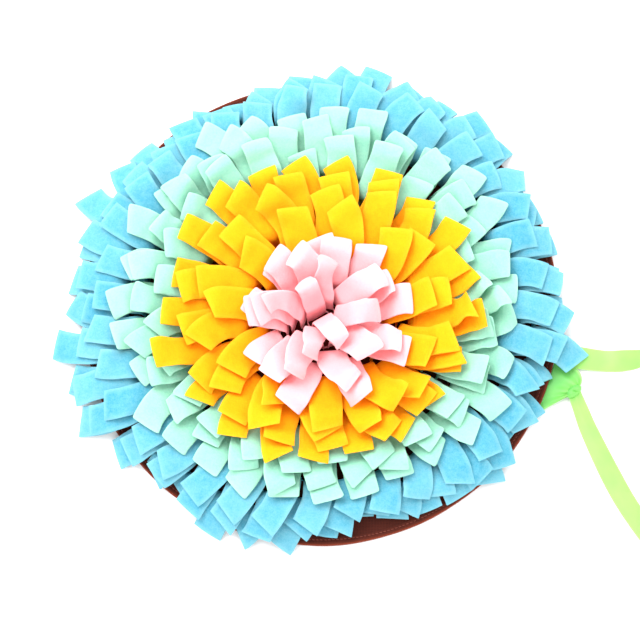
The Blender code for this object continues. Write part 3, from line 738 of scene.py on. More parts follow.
def strip_ring(node, cloth, ring, material):
    """One ring of strips as a piece: a closed tube for each strip and the root band that holds them."""
    name = node + "_strips"
    centre, radius, width, locks = ring
    form = CLOTH_FORMS[cloth]
    section = FELT_SECTION if cloth.startswith("felt") else FLEECE_SECTION
    chance = np.random.default_rng(SEED + sum(map(ord, name)))
    points, quads, caps, edge_highlights, tones = [], [], [], [], []
    first, area = 0, 0.0
    for line in locks:
        grid, edge_highlight = strip_points(line, width, form, section, chance)
        foot = grid[:1].copy()
        foot[..., 2] = ROOT_BOTTOM
        grid = np.concatenate([foot, grid])
        edge_highlight = np.concatenate([edge_highlight[:1], edge_highlight])
        rows, columns = grid.shape[:2]
        points.append(grid.reshape(-1, 3))
        quads.append(tube_quads(rows, columns, first))
        caps += tube_caps(rows, columns, first)
        edge_highlights.append(edge_highlight.ravel())
        tones.append(np.full(rows * columns, chance.uniform(-1, 1)))
        first += rows * columns
        area += width * (line[3][-1] + ROOT_STRIP_HEIGHT)
    band = root_band(centre, radius)
    points.append(band.reshape(-1, 3))
    quads.append(ring_quads(*band.shape[:2], first))
    edge_highlights.append(np.zeros(len(points[-1])))
    tones.append(np.zeros(len(points[-1])))
    piece = mesh_piece(name, np.concatenate(points), np.concatenate(quads), caps, SHARP_FROM)
    point_values(piece, "edge_highlight", np.concatenate(edge_highlights))
    point_values(piece, "tone", np.concatenate(tones))
    finish_piece(piece, material, node)
    return piece


@functools.cache
def laid_rings():
    """All the strips, laid once and kept, because each ring lies on those laid before it."""
    return lay_rings()


def strip_rings(cloth, material):
    """All the rings of one cloth."""
    for name, its_cloth, *_ in RINGS:
        if its_cloth == cloth:
            strip_ring(name, cloth, laid_rings()[name], material)


# Disc


def disc_profile():
    """Half of the disc's section as a table, from near the axis on top, over the hem and its stitched groove, round
    the edge and back underneath: distance from the axis, height, share of the edge colour."""
    r, top = BASE_RADIUS, HEM_THICKNESS
    inner = r - HEM_WIDTH
    groove = r - STITCH_INSET
    flat = [(x, BASE_THICKNESS, 0.0) for x in np.linspace(DISC_HUB, inner - 0.0010, TOP_STEPS)]
    hem = [
        # its cut inner edge
        (inner - 0.0004, BASE_THICKNESS + 0.0001, 0.0), (inner, top - 0.0003, 0.0), (inner + 0.0005, top, 0.0),
        # the groove that the seam pulls in
        (groove - 0.0009, top, 0.0), (groove - 0.0004, top - 0.0003, 0.0), (groove, top - 0.0004, 0.0),
        (groove + 0.0004, top - 0.0003, 0.0), (groove + 0.0009, top, 0.0),
        # the folded rim
        (r - 0.0016, top, 0.2), (r - 0.0008, top - 0.0003, 1.0), (r - 0.0002, top - 0.0009, 1.0),
        (r, top / 2, 1.0), (r - 0.0002, 0.0008, 1.0), (r - 0.0008, 0.0, 0.5),
    ]
    under = [(x, 0.0, 0.0) for x in np.linspace(inner, DISC_HUB, UNDER_STEPS)]
    return np.array(flat + hem + under)


def woven_disc(material):
    """The disc: its profile carried round the axis, the hem drawn in a little between its stitches and its edge
    a little out of round, by sums of sines of the angle."""
    profile = disc_profile()
    turn = np.linspace(0, 2 * math.pi, DISC_STEPS, endpoint=False)[:, None]
    at_rim = np.clip((profile[:, 0] - BASE_RADIUS + HEM_WIDTH) / HEM_WIDTH, 0, 1)[None, :]
    out_of_round = sum(depth * np.sin(times * turn + phase) for times, depth, phase in OUT_OF_ROUND)
    r = profile[None, :, 0] + at_rim * out_of_round
    pucker = PUCKER * np.sin(HEM_STITCHES / 2 * turn) * at_rim * (profile[None, :, 1] > BASE_THICKNESS)
    z = profile[None, :, 1] + pucker
    grid = np.stack([r * np.cos(turn), r * np.sin(turn), z], axis=-1)
    steps, columns = grid.shape[:2]
    points = np.concatenate([grid.reshape(-1, 3), [[0, 0, BASE_THICKNESS], [0, 0, 0.0]]])
    top, bottom = steps * columns, steps * columns + 1
    here = np.arange(steps) * columns
    there = (np.arange(steps) + 1) % steps * columns
    caps = fan(top, here, there) + fan(bottom, there + columns - 1, here + columns - 1)
    quads = ring_quads(steps, columns, closed=False)[:, ::-1]
    piece = mesh_piece("woven_disc", points, quads, caps, SHARP_FROM)
    edge = np.concatenate([np.broadcast_to(profile[None, :, 2], (steps, columns)).ravel(), [0, 0]])
    point_values(piece, "edge", edge)
    return finish_piece(piece, material, "base_disc")


def hem_stitches(material):
    """The seam that holds the hem: a ring of short, slightly slanted stitches. Each is a long egg shape, by the sines
    and cosines of two angles, with blunt ends, and is bent round the rim."""
    turn = (np.arange(HEM_STITCHES) * 2 * math.pi / HEM_STITCHES)[:, None, None]
    pole = np.linspace(STITCH_END, math.pi - STITCH_END, STITCH_SIDES)[None, :, None]
    lap = np.linspace(0, 2 * math.pi, STITCH_SIDES, endpoint=False)[None, None, :]
    radius = BASE_RADIUS - STITCH_INSET
    length = 2 * math.pi * radius / HEM_STITCHES * STITCH_FILL
    along = -length / 2 * np.cos(pole) + 0 * lap
    out = STITCH_WIDTH / 2 * np.sin(pole) * np.cos(lap) + STITCH_SLANT * along
    up = STITCH_WIDTH * STITCH_RISE * np.sin(pole) * np.sin(lap)
    r = radius + out
    angle = turn + along / radius
    z = HEM_THICKNESS - STITCH_SUNK + up + 0 * turn
    grid = np.stack([r * np.cos(angle), r * np.sin(angle), z], axis=-1)
    count, rows, columns = grid.shape[:3]
    one = tube_quads(rows, columns)
    first = np.arange(count)[:, None, None] * rows * columns
    quads = (one[None] + first).reshape(-1, 4)
    ends = np.stack(tube_caps(rows, columns))
    caps = [*(ends[None] + first).reshape(-1, columns)]
    piece = mesh_piece("hem_stitches", grid.reshape(-1, 3), quads, caps)
    return finish_piece(piece, material)


# Tie


def sheet_tube(surface, thickness, first):
    """A closed sheet of even thickness about a grid of middle points, as a tube whose rows run once round its
    section: over the top one way and back underneath."""
    normal = np.cross(np.gradient(surface, axis=0), np.gradient(surface, axis=1))
    normal /= np.linalg.norm(normal, axis=2)[..., None]
    over = surface + normal * thickness / 2
    under = surface - normal * thickness / 2
    grid = np.concatenate([over, under[:, ::-1]], axis=1)
    rows, columns = grid.shape[:2]
    return grid.reshape(-1, 3), tube_quads(rows, columns, first), tube_caps(rows, columns, first)


def cupped(surface, cup, wave, pitch, phase):
    """A tail's surface with its middle raised, by one minus the square of the place across, and with gentle sine
    waves along it, so that it lies on the floor by its edges and troughs. Returns it and the length along it."""
    columns = surface.shape[1]
    u = np.linspace(-1, 1, columns)[None, :]
    step = np.linalg.norm(np.diff(surface[:, columns // 2], axis=0), axis=1)
    along = np.concatenate([[0.0], np.cumsum(step)])[:, None]
    raised = surface.copy()
    swell = 1 + np.sin(2 * math.pi * along / pitch + phase + SWELL_SLANT * u)
    raised[..., 2] += cup * (1 - u ** 2) + wave * swell * np.clip(along / SWELL_FROM, 0, 1)
    return raised, along


def gathered(surface, depth, folds, fade):
    """A surface with folds that run along it: it rises and falls across, by a cosine, as deep as depth times fade
    at each row."""
    u = np.linspace(0, 1, surface.shape[1])[None, :]
    pleated = surface.copy()
    pleated[..., 2] += depth * fade[:, None] * (np.cos(2 * math.pi * folds * u) + PLEAT_RISE)
    return pleated


def knot_surface(around, along):
    """The knot: the solid's egg shape pressed flat, drawn in by three slanting creases along it and by one slot
    across its top, where the tail leaves. Each crease is a bell curve over its distance in turn."""
    grid = knot_points(around, along)
    lap, pole = knot_angles(around, along)
    places, slant, crease_depth, crease_width = KNOT_CREASES
    slanting = lap + slant * (pole - math.pi / 2)
    off = [(slanting - at + math.pi) % (2 * math.pi) - math.pi for at in places]
    creases = sum(np.exp(-each ** 2 / crease_width) for each in off)
    slot_pole, slot_lap, slant, slot_depth, slot_width, slot_length = KNOT_SLOT
    from_slot = pole - slot_pole + slant * (lap - slot_lap)
    slot = np.exp(-(from_slot ** 2) / slot_width - (lap - slot_lap) ** 2 / slot_length)
    centre = np.array(KNOT_CENTRE)
    drawn_in = (crease_depth * creases + slot_depth * slot) * np.sin(pole)
    pressed = grid + (centre - grid) * drawn_in[..., None]
    pressed[..., 2] = centre[2] + (pressed[..., 2] - centre[2]) * KNOT_PRESS
    return pressed


def tie_ribbon(material):
    """The tie: the fold from the hem, gathered towards the knot, and the two tails. The wide satin face is up."""
    toward = np.linspace(0, 1, FOLD_ROWS)
    depth, folds, power, flattened = FOLD_PLEATS
    fold = gathered(fold_surface(FOLD_ROWS, across=61), depth, folds, toward ** power * (1 - flattened * toward))
    straight, straight_along = cupped(tail_surface(STRAIGHT_TAIL, along=110, across=15), *STRAIGHT_SWELL)
    knotted, knotted_along = cupped(tail_surface(KNOTTED_TAIL, along=130, across=15), *KNOTTED_SWELL)
    depth, folds, fade = KNOTTED_PLEATS
    knotted = gathered(knotted, depth, folds, np.exp(-knotted_along[:, 0] / fade))
    points, quads, caps, along, across = [], [], [], [], []
    first = 0
    # The length along each surface: it spaces the satin's ribs and fades the painted shade of the fold.
    surfaces = (
        (fold, TONE_FROM * toward[:, None]),
        (straight, TONE_FROM + straight_along),
        (knotted, TONE_FROM + knotted_along),
    )
    for surface, its_along in surfaces:
        its_points, its_quads, its_caps = sheet_tube(surface, RIBBON_THICKNESS, first)
        points.append(its_points)
        quads.append(its_quads)
        caps += its_caps
        u = np.linspace(0, 1, surface.shape[1])
        u = np.concatenate([u, u[::-1]])[None, :]
        across.append((u + 0 * its_along).ravel() * RIBBON_WIDTH)
        along.append((its_along + 0 * u).ravel())
        first += len(its_points)
    piece = mesh_piece("ribbon_tie", np.concatenate(points), np.concatenate(quads), caps, SHARP_FROM)
    point_values(piece, "along", np.concatenate(along))
    point_values(piece, "across", np.concatenate(across))
    return finish_piece(piece, material, "tie_ribbon")


def tie_length():
    """The length of ribbon in the tie: its two tails and the piece between them, folded at the hem."""
    tails = 0.0
    for table in (STRAIGHT_TAIL, KNOTTED_TAIL):
        tails += np.linalg.norm(np.diff(through(table, count=200)[:, :3], axis=0), axis=1).sum()
    return tails + TIE_FOLDED


def tie_knot(material):
    """The knot as a closed egg shape whose two poles are one point each."""
    grid = knot_surface(around=48, along=60)
    rows, columns = grid.shape[:2]
    body = grid[1:-1]
    points = np.concatenate([body.reshape(-1, 3), grid[0, :1], grid[-1, :1]])
    start, end = len(points) - 2, len(points) - 1
    last = (rows - 3) * columns
    here = np.arange(columns)
    there = (here + 1) % columns
    caps = fan(start, here, there) + fan(end, last + there, last + here)
    piece = mesh_piece("ribbon_knot", points, tube_quads(rows - 2, columns), caps)
    lap = np.linspace(0, 1, columns)[None, :] + np.zeros((rows - 2, 1))
    pole = np.linspace(0, 1, rows - 2)[:, None] + np.zeros((1, columns))
    # Round the knot, the length along fades the painted shade from one side of it.
    point_values(piece, "along", np.concatenate([(lap * KNOT_TONE).ravel(), [0, 0]]))
    point_values(piece, "across", np.concatenate([(pole * RIBBON_WIDTH).ravel(), [0, 0]]))
    return finish_piece(piece, material)


# Materials


class Finish:
    """One material and short ways of adding nodes to it."""

    def __init__(self, name):
        self.material = bpy.data.materials.new(name)
        self.material.use_nodes = True
        self.nodes = self.material.node_tree.nodes
        self.links = self.material.node_tree.links
        self.shader = self.nodes["Principled BSDF"]

    def put(self, socket, value):
        """Joins a socket to another node's output, or sets it to a number or a colour."""
        if isinstance(value, bpy.types.NodeSocket):
            self.links.new(value, socket)
        elif hasattr(value, "__len__") and len(value) == 3 and socket.type == "RGBA":
            socket.default_value = (*value, 1.0)
        else:
            socket.default_value = value

    def node(self, kind, inputs=(), **settings):
        """A new node of a kind, with its settings and with each of its inputs joined or set."""
        made = self.nodes.new(kind)
        for key, value in settings.items():
            setattr(made, key, value)
        for key, value in dict(inputs).items():
            self.put(made.inputs[key], value)
        return made

    def place(self):
        return self.node("ShaderNodeTexCoord").outputs["Object"]

    def stored(self, name):
        """A number that point_values stored on the piece."""
        return self.node("ShaderNodeAttribute", attribute_name=name).outputs["Fac"]

    def noise(self, place, size, detail=2.0, roughness=0.5):
        """Cloudy noise whose lumps are about size across."""
        inputs = {"Vector": place, "Scale": 1 / size, "Detail": detail, "Roughness": roughness}
        return self.node("ShaderNodeTexNoise", inputs).outputs["Fac"]

    def sum(self, first, second, times=1.0):
        """first + second * times"""
        inputs = {0: second, 1: times, 2: first}
        return self.node("ShaderNodeMath", inputs, operation="MULTIPLY_ADD").outputs[0]

    def math(self, operation, first, second=0.0):
        return self.node("ShaderNodeMath", {0: first, 1: second}, operation=operation).outputs[0]

    def varied(self, start, *noises):
        """start with each noise added about its middle: (noise, how much)."""
        for noise, times in noises:
            start = self.sum(start, self.math("SUBTRACT", noise, 0.5), times)
        return start

    def edged(self, colour, mask, share, edge):
        """A colour that gives way to the edge colour, by a share, where the mask is 1."""
        return self.mix(self.math("MULTIPLY", mask, share), colour, edge)

    def mix(self, share, first, second):
        """first where share is 0 and second where it is 1."""
        made = self.node("ShaderNodeMix", data_type="RGBA")
        self.put(made.inputs["Factor"], share)
        self.put(made.inputs[6], first)
        self.put(made.inputs[7], second)
        return made.outputs[2]

    def ramp(self, share, low, high):
        """0 below low, 1 above high and even between them."""
        inputs = {"Value": share, "From Min": low, "From Max": high}
        return self.node("ShaderNodeMapRange", inputs).outputs[0]

    def bump(self, height, depth, strength=1.0, under=None):
        """The normal of a bumpy face, depth metres high where height is 1, over another such normal if given."""
        inputs = {"Height": height, "Distance": depth, "Strength": strength}
        if under is not None:
            inputs["Normal"] = under
        return self.node("ShaderNodeBump", inputs).outputs["Normal"]

    def finish(self, colour, roughness, normal, constants=()):
        """Joins the shader's colour, roughness and normal, and sets its other sockets to constants."""
        self.put(self.shader.inputs["Base Color"], colour)
        self.put(self.shader.inputs["Roughness"], roughness)
        self.put(self.shader.inputs["Normal"], normal)
        for name, value in dict(constants).items():
            self.put(self.shader.inputs[name], value)
        return self.material


def soft_look(look, sheen_roughness, gloss):
    """The shader's constant sockets for a soft cloth."""
    return {
        "Sheen Weight": look.sheen, "Sheen Roughness": sheen_roughness, "Sheen Tint": tuple(look.edge),
        "Subsurface Weight": look.glow, "Subsurface Scale": GLOW_DEPTH, "Subsurface Radius": tuple(look.spread),
        "Specular IOR Level": gloss,
    }


def felt(name, look):
    """Pressed felt: matted fibres, a faint cloudiness, strips of slightly different tone, painted shade in the
    hollows of the fibres, and cut edges painted paler as a painted highlight.
    """
    made = Finish(name)
    place = made.place()
    cloud = made.noise(place, size=0.016, detail=3)
    fibre = made.noise(place, size=0.0014, detail=8, roughness=0.8)
    matted = made.noise(place, size=0.0040, detail=3, roughness=0.6)
    # Painted shade: the colour falls to the darker colour where the fibre and matting noises, which also raise the
    # bump, are low; the cloud and each strip's tone vary it at random.
    share = made.varied(0.62, (cloud, 0.8), (fibre, 2.6), (matted, 0.7))
    share = made.sum(share, made.stored("tone"), times=0.22)
    colour = made.mix(made.ramp(share, low=0.0, high=1.0), look.shade_and_mottle, look.colour)
    # Painted highlight: the cut edges are painted paler, towards the edge colour.
    colour = made.edged(colour, made.stored("edge_highlight"), 0.55, look.edge)
    normal = made.bump(fibre, depth=0.0004, strength=0.7)
    normal = made.bump(matted, depth=0.0006, strength=0.4, under=normal)
    roughness = made.sum(0.78, made.ramp(fibre, low=-1.0, high=2.2), times=0.2)
    return made.finish(colour, roughness, normal, soft_look(look, sheen_roughness=0.45, gloss=0.15))


def fleece(name, look):
    """Brushed fleece: a soft short pile, painted lighter on its tufts with painted shade between them, and rounded
    edges painted paler as a painted highlight.
    """
    made = Finish(name)
    place = made.place()
    cloud = made.noise(place, size=0.012)
    tuft = made.noise(place, size=0.0019, detail=4, roughness=0.6)
    hair = made.noise(place, size=0.0006, detail=6, roughness=0.7)
    # Painted light and shade: lighter where the tuft and hair noises raise the bump, darker between them; the cloud
    # and each strip's tone vary it at random.
    share = made.varied(0.6, (cloud, 0.8), (tuft, 1.5), (hair, 1.2))
    share = made.sum(share, made.stored("tone"), times=0.2)
    colour = made.mix(made.ramp(share, low=0.0, high=1.0), look.shade_and_mottle, look.colour)
    # Painted highlight: the rounded edges are painted paler, towards the edge colour.
    colour = made.edged(colour, made.stored("edge_highlight"), 0.5, look.edge)
    normal = made.bump(hair, depth=0.0003, strength=0.5)
    normal = made.bump(tuft, depth=0.0007, strength=0.45, under=normal)
    roughness = made.sum(0.82, hair, times=0.12)
    return made.finish(colour, roughness, normal, soft_look(look, sheen_roughness=0.5, gloss=0.1))


def woven(name, thread, light, edge, pitch):
    """Plain weave on the plane of the disc: two sets of threads a pitch apart, each over and under the other in
    turn. The height is the greater of two ridges, each the size of a sine, and the colour follows it: painted shade
    in the hollows between the threads and painted light on their raised tops. The rim takes the edge colour."""
    made = Finish(name)
    place = made.place()
    split = made.node("ShaderNodeSeparateXYZ", {"Vector": place})
    ridge = []
    for axis in ("X", "Y"):
        wave = made.math("SINE", made.math("MULTIPLY", split.outputs[axis], math.pi / pitch))
        ridge.append(made.math("ABSOLUTE", wave))
    over = made.node("ShaderNodeTexChecker", {"Vector": place, "Scale": 1 / pitch}).outputs["Fac"]
    first = made.math("MULTIPLY", ridge[0], made.sum(0.55, over, times=0.45))
    second = made.math("MULTIPLY", ridge[1], made.sum(1.0, over, times=-0.45))
    height = made.math("MAXIMUM", first, second)
    fibre = made.noise(place, size=0.0009, detail=5, roughness=0.7)
    cloud = made.noise(place, size=0.03, detail=3)
    # Painted shade and light: the colour follows the weave's height, darker in the hollows between the threads and
    # lighter on the raised thread tops.
    share = made.varied(made.math("MULTIPLY", height, 0.75), (fibre, 0.5), (cloud, 0.5))
    colour = made.mix(made.ramp(share, low=0.1, high=1.0), thread, light)
    colour = made.edged(colour, made.stored("edge"), 0.8, edge)
    normal = made.bump(height, depth=0.0003, strength=0.7)
    normal = made.bump(fibre, depth=0.0002, strength=0.4, under=normal)
    matt = {"Sheen Weight": 0.04, "Sheen Roughness": 0.5, "Specular IOR Level": 0.2}
    return made.finish(colour, made.sum(0.75, fibre, times=0.2), normal, matt)


def thread(name, colour, light):
    """Spun sewing thread: fine noise between two tones."""
    made = Finish(name)
    twist = made.noise(made.place(), size=0.0007, detail=3)
    spun = made.mix(twist, colour, light)
    roughness = made.sum(0.6, twist, times=0.2)
    return made.finish(spun, roughness, made.bump(twist, depth=0.0001, strength=0.5))


def satin(name, look, pitch):
    """Satin ribbon: fine ribs across its length, a firm edge along both sides, a soft gloss, and painted shade in the
    fold and on one side of the knot, fading out along the ribbon.
    """
    made = Finish(name)
    along, across = made.stored("along"), made.stored("across")
    rib = made.math("SINE", made.math("MULTIPLY", along, 2 * math.pi / pitch))
    # Painted shade: darker in the fold and on one side of the knot, fading out along the ribbon.
    out_of_shade = made.ramp(along, low=0.0, high=0.034)
    from_middle = made.math("ABSOLUTE", made.math("SUBTRACT", across, RIBBON_WIDTH / 2))
    firm = made.ramp(from_middle, low=RIBBON_WIDTH / 2 - 0.0012, high=RIBBON_WIDTH / 2 - 0.0006)
    cloud = made.noise(made.place(), size=0.02)
    share = made.varied(made.math("MULTIPLY", out_of_shade, 0.85), (cloud, 0.5))
    colour = made.mix(made.ramp(share, low=0.0, high=1.0), look.shade_and_mottle, look.colour)
    colour = made.edged(colour, firm, 0.35, look.edge)
    normal = made.bump(rib, depth=0.00006, strength=0.4)
    normal = made.bump(firm, depth=0.0001, strength=0.5, under=normal)
    roughness = made.sum(0.38, cloud, times=0.15)
    return made.finish(colour, roughness, normal, soft_look(look, sheen_roughness=0.3, gloss=0.4))


# Settings


def colour_setting(name, description, default):
    return FloatVectorProperty(
        name=name, description=description, default=default, size=3, min=0, max=1, subtype="COLOR"
    )


def spread_setting(default):
    return FloatVectorProperty(
        name="Spread", description="How far light spreads in the cloth, by colour", default=default, size=3
    )


def share_setting(name, description, default):
    return FloatProperty(name=name, description=description, default=default, min=0, max=1, subtype="FACTOR")


def length_setting(name, description, default):
    return FloatProperty(name=name, description=description, default=default, min=0, unit="LENGTH")


class BlueFelt(PropertyGroup):
    """Blue felt of the three outer rings"""

    colour: colour_setting("Colour", "Colour of the felt", (0.145, 0.410, 0.510))
    # Painted shade: the colour of the hollows between the fibres, which also gives darker mottling at random
    shade_and_mottle: colour_setting("Deep colour", "Colour between its fibres", (0.050, 0.300, 0.430))
    # Painted highlight: the cut edges of the strips are painted paler towards this colour; it also tints the sheen
    edge: colour_setting("Edge colour", "Colour of a cut edge", (0.220, 0.480, 0.550))
    spread: spread_setting((0.3, 0.8, 1.0))
    glow: share_setting("Glow", "Share of light that passes into the felt", 0.3)
    sheen: share_setting("Sheen", "Brightness of the raised fibres", 0.15)


class MintFleece(PropertyGroup):
    """Mint fleece of the three rings inside the blue"""

    colour: colour_setting("Colour", "Colour of the fleece", (0.310, 0.630, 0.465))
    # Painted shade: the colour of the hollows between the tufts, which also gives darker mottling at random
    shade_and_mottle: colour_setting("Deep colour", "Colour between its tufts", (0.225, 0.545, 0.420))
    # Painted highlight: the cut edges of the strips are painted paler towards this colour; it also tints the sheen
    edge: colour_setting("Edge colour", "Colour of a cut edge", (0.370, 0.660, 0.525))
    spread: spread_setting((0.7, 1.0, 0.9))
    glow: share_setting("Glow", "Share of light that passes into the fleece", 0.3)
    sheen: share_setting("Sheen", "Brightness of the raised pile", 0.2)


class YellowFelt(PropertyGroup):
    """Yellow felt of the four rings inside the mint"""

    colour: colour_setting("Colour", "Colour of the felt", (0.960, 0.390, 0.004))
    # Painted shade: the colour of the hollows between the fibres, which also gives darker mottling at random
    shade_and_mottle: colour_setting("Deep colour", "Colour between its fibres", (0.960, 0.310, 0.002))
    # Painted highlight: the cut edges of the strips are painted paler towards this colour; it also tints the sheen
    edge: colour_setting("Edge colour", "Colour of a cut edge", (0.960, 0.440, 0.015))
    spread: spread_setting((1.0, 0.6, 0.1))
    glow: share_setting("Glow", "Share of light that passes into the felt", 0.3)
    sheen: share_setting("Sheen", "Brightness of the raised fibres", 0.12)


class PinkFleece(PropertyGroup):
    """Pink fleece of the five rings of the rosette"""

    colour: colour_setting("Colour", "Colour of the fleece", (0.950, 0.455, 0.485))
    # Painted shade: the colour of the hollows between the tufts, which also gives darker mottling at random
    shade_and_mottle: colour_setting("Deep colour", "Colour between its tufts", (0.950, 0.390, 0.425))
    # Painted highlight: the cut edges of the strips are painted paler towards this colour; it also tints the sheen
    edge: colour_setting("Edge colour", "Colour of a cut edge", (0.950, 0.535, 0.570))
    spread: spread_setting((1.0, 0.7, 0.7))
    glow: share_setting("Glow", "Share of light that passes into the fleece", 0.3)
    sheen: share_setting("Sheen", "Brightness of the raised pile", 0.2)


class GreenRibbon(PropertyGroup):
    """Green satin ribbon of the tie"""

    colour: colour_setting("Colour", "Colour of the tails", (0.310, 0.650, 0.130))
    # Painted shade: the colour of the fold and of one side of the knot, also reached at random by the cloud
    shade_and_mottle: colour_setting("Fold colour", "Colour in the gathered fold", (0.100, 0.440, 0.080))
    edge: colour_setting("Edge colour", "Colour of the woven edge", (0.400, 0.680, 0.220))
    spread: spread_setting((0.6, 1.0, 0.4))
    glow: share_setting("Glow", "Share of light that passes into the ribbon", 0.15)
    sheen: share_setting("Sheen", "Brightness of its soft gloss", 0.2)
    rib: length_setting("Rib", "Distance between two ribs of the weave", 0.0008)


class BrownDisc(PropertyGroup):
    """Brown woven cloth of the disc"""

    # Painted shade: the colour in the hollows between the threads
    thread: colour_setting("Thread", "Colour between the threads", (0.036, 0.004, 0.002))
    # Painted light: the colour of the raised thread tops
    light: colour_setting("Thread top", "Colour of the threads where they rise", (0.105, 0.018, 0.008))
    edge: colour_setting("Edge colour", "Colour of the turned edge", (0.220, 0.035, 0.012))
    pitch: length_setting("Weave pitch", "Distance between two threads", 0.0013)


class Studio(PropertyGroup):
    """Camera, floor and light"""

    distance: length_setting("Distance", "From the middle of the mat to the camera", 1.6)
    elevation: FloatProperty(
        name="Elevation", description="Height of the camera over the horizon",
        default=math.radians(75.77), subtype="ANGLE",
    )
    lens: FloatProperty(name="Lens", description="Focal length", default=101.70, subtype="DISTANCE_CAMERA")
    shift_right: FloatProperty(name="Shift right", description="Lens shift", default=-0.00203)
    shift_up: FloatProperty(name="Shift up", description="Lens shift", default=-0.01872)
    sky: FloatProperty(name="Sky", description="Strength of the even light", default=1.75, min=0)
    lamp: FloatProperty(name="Lamp", description="Power of the large soft lamp", default=45.0, min=0, unit="POWER")
    lamp_size: length_setting("Lamp size", "Side of the soft lamp", 1.4)
    floor_side: length_setting("Floor", "Side of the floor", 8.0)
    floor_colour: colour_setting("Floor colour", "Colour of the floor", (0.93, 0.93, 0.93))


SETTINGS = {
    "snuffle_blue": BlueFelt,
    "snuffle_mint": MintFleece,
    "snuffle_yellow": YellowFelt,
    "snuffle_pink": PinkFleece,
    "snuffle_ribbon": GreenRibbon,
    "snuffle_disc": BrownDisc,
    "snuffle_studio": Studio,
}


# Operators


class SNUFFLE_OT_stage(Operator):
    """Sets the floor, the even light, the soft lamp and the camera"""

    bl_idname = "snuffle.stage"
    bl_label = "Stage"

    def execute(self, context):
        studio = context.scene.snuffle_studio
        half = studio.floor_side / 2
        corners = [(-half, -half), (half, -half), (half, half), (-half, half)]
        floor = mesh_piece("floor", [(x, y, -FLOOR_GAP) for x, y in corners], np.array([[0, 1, 2, 3]]))
        plain = Finish("plain_floor")
        grain = plain.noise(plain.place(), size=FLOOR_CLOUD)
        darker = tuple(FLOOR_TONE * part for part in studio.floor_colour)
        colour = plain.mix(grain, tuple(studio.floor_colour), darker)
        normal = plain.bump(grain, depth=0.0001, strength=0.1)
        floor.data.materials.append(plain.finish(colour, FLOOR_ROUGHNESS, normal))

        world = bpy.data.worlds.new("even_light")
        world.use_nodes = True
        world.node_tree.nodes["Background"].inputs["Strength"].default_value = studio.sky
        world.node_tree.nodes["Background"].inputs["Color"].default_value = (1.0, 1.0, 1.0, 1.0)
        context.scene.world = world

        lamp = bpy.data.lights.new("soft_lamp", "AREA")
        lamp.energy = studio.lamp
        lamp.size = studio.lamp_size
        lamp_object = bpy.data.objects.new("soft_lamp", lamp)
        lamp_object.location = LAMP_PLACE
        lamp_object.rotation_euler = (-Vector(LAMP_PLACE)).to_track_quat("-Z", "Y").to_euler()
        context.scene.collection.objects.link(lamp_object)

        camera = bpy.data.cameras.new("camera")
        camera.lens = studio.lens
        camera.sensor_width = SENSOR_WIDTH
        camera.shift_x = studio.shift_right
        camera.shift_y = studio.shift_up
        back = Vector((0.0, -math.cos(studio.elevation), math.sin(studio.elevation)))
        camera_object = bpy.data.objects.new("camera", camera)
        camera_object.location = back * studio.distance
        camera_object.rotation_euler = (-back).to_track_quat("-Z", "Y").to_euler()
        context.scene.collection.objects.link(camera_object)
        context.scene.camera = camera_object
        context.scene.view_settings.view_transform = "Standard"
        return {"FINISHED"}


class SNUFFLE_OT_disc(Operator):
    """Makes the woven disc with its hem, and the stitches that hold the hem"""

    bl_idname = "snuffle.disc"
    bl_label = "Woven disc"

    def execute(self, context):
        look = context.scene.snuffle_disc
        cloth = woven("woven_brown", tuple(look.thread), tuple(look.light), tuple(look.edge), look.pitch)
        disc = woven_disc(cloth)
        stitches = hem_stitches(thread("brown_thread", tuple(look.light), tuple(look.edge)))
        return {"FINISHED"}


class SNUFFLE_OT_blue(Operator):
    """Makes the three rings of blue felt strips round the rim"""

    bl_idname = "snuffle.blue"
    bl_label = "Blue felt rings"

    def execute(self, context):
        strip_rings("felt_blue", felt("blue_felt", context.scene.snuffle_blue))
        return {"FINISHED"}


class SNUFFLE_OT_mint(Operator):
    """Makes the three rings of mint fleece strips inside the blue"""

    bl_idname = "snuffle.mint"
    bl_label = "Mint fleece rings"

    def execute(self, context):
        strip_rings("fleece_mint", fleece("mint_fleece", context.scene.snuffle_mint))
        return {"FINISHED"}


class SNUFFLE_OT_yellow(Operator):
    """Makes the four rings of yellow felt strips inside the mint"""

    bl_idname = "snuffle.yellow"
    bl_label = "Yellow felt rings"

    def execute(self, context):
        strip_rings("felt_yellow", felt("yellow_felt", context.scene.snuffle_yellow))
        return {"FINISHED"}


class SNUFFLE_OT_pink(Operator):
    """Makes the rosette at the centre: five rings of pink fleece strips"""

    bl_idname = "snuffle.pink"
    bl_label = "Pink rosette"

    def execute(self, context):
        strip_rings("fleece_pink", fleece("pink_fleece", context.scene.snuffle_pink))
        return {"FINISHED"}


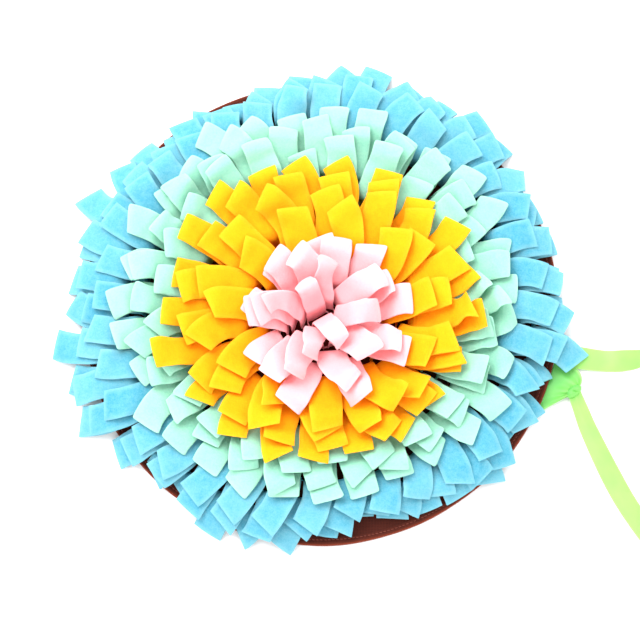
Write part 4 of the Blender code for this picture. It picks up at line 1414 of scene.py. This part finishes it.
class SNUFFLE_OT_tie(Operator):
    """Makes the ribbon tie: the gathered fold, the knot and the two tails"""

    bl_idname = "snuffle.tie"
    bl_label = "Ribbon tie"

    def execute(self, context):
        look = context.scene.snuffle_ribbon
        cloth = satin("green_satin", look, look.rib)
        ribbon = tie_ribbon(cloth)
        knot = tie_knot(cloth)
        length = tie_length()
        return {"FINISHED"}


OPERATORS = (
    SNUFFLE_OT_stage, SNUFFLE_OT_disc, SNUFFLE_OT_blue, SNUFFLE_OT_mint, SNUFFLE_OT_yellow, SNUFFLE_OT_pink,
    SNUFFLE_OT_tie,
)


class SNUFFLE_PT_sidebar(Panel):
    """Lists the pieces of the mat and their settings"""

    bl_idname = "SNUFFLE_PT_sidebar"
    bl_label = "Snuffle mat"
    bl_space_type = "VIEW_3D"
    bl_region_type = "UI"
    bl_category = "Snuffle mat"

    def draw(self, context):
        for operator in OPERATORS:
            self.layout.operator(operator.bl_idname)
        for name, group in SETTINGS.items():
            box = self.layout.box()
            box.label(text=group.__doc__)
            for setting in group.__annotations__:
                box.prop(getattr(context.scene, name), setting)


def register():
    """Registers the settings, the operators and the panel, and gives the scene its settings."""
    for group in SETTINGS.values():
        bpy.utils.register_class(group)
    for name, group in SETTINGS.items():
        setattr(bpy.types.Scene, name, PointerProperty(type=group))
    for operator in OPERATORS:
        bpy.utils.register_class(operator)
    bpy.utils.register_class(SNUFFLE_PT_sidebar)


def unregister():
    """Takes away what register made."""
    bpy.utils.unregister_class(SNUFFLE_PT_sidebar)
    for operator in reversed(OPERATORS):
        bpy.utils.unregister_class(operator)
    for name, group in SETTINGS.items():
        delattr(bpy.types.Scene, name)
        bpy.utils.unregister_class(group)


def main():
    """Builds the whole mat in order."""
    register()
    bpy.ops.snuffle.stage()
    bpy.ops.snuffle.disc()
    bpy.ops.snuffle.tie()
    bpy.ops.snuffle.blue()
    bpy.ops.snuffle.mint()
    bpy.ops.snuffle.yellow()
    bpy.ops.snuffle.pink()


if __name__ == "__main__":
    main()
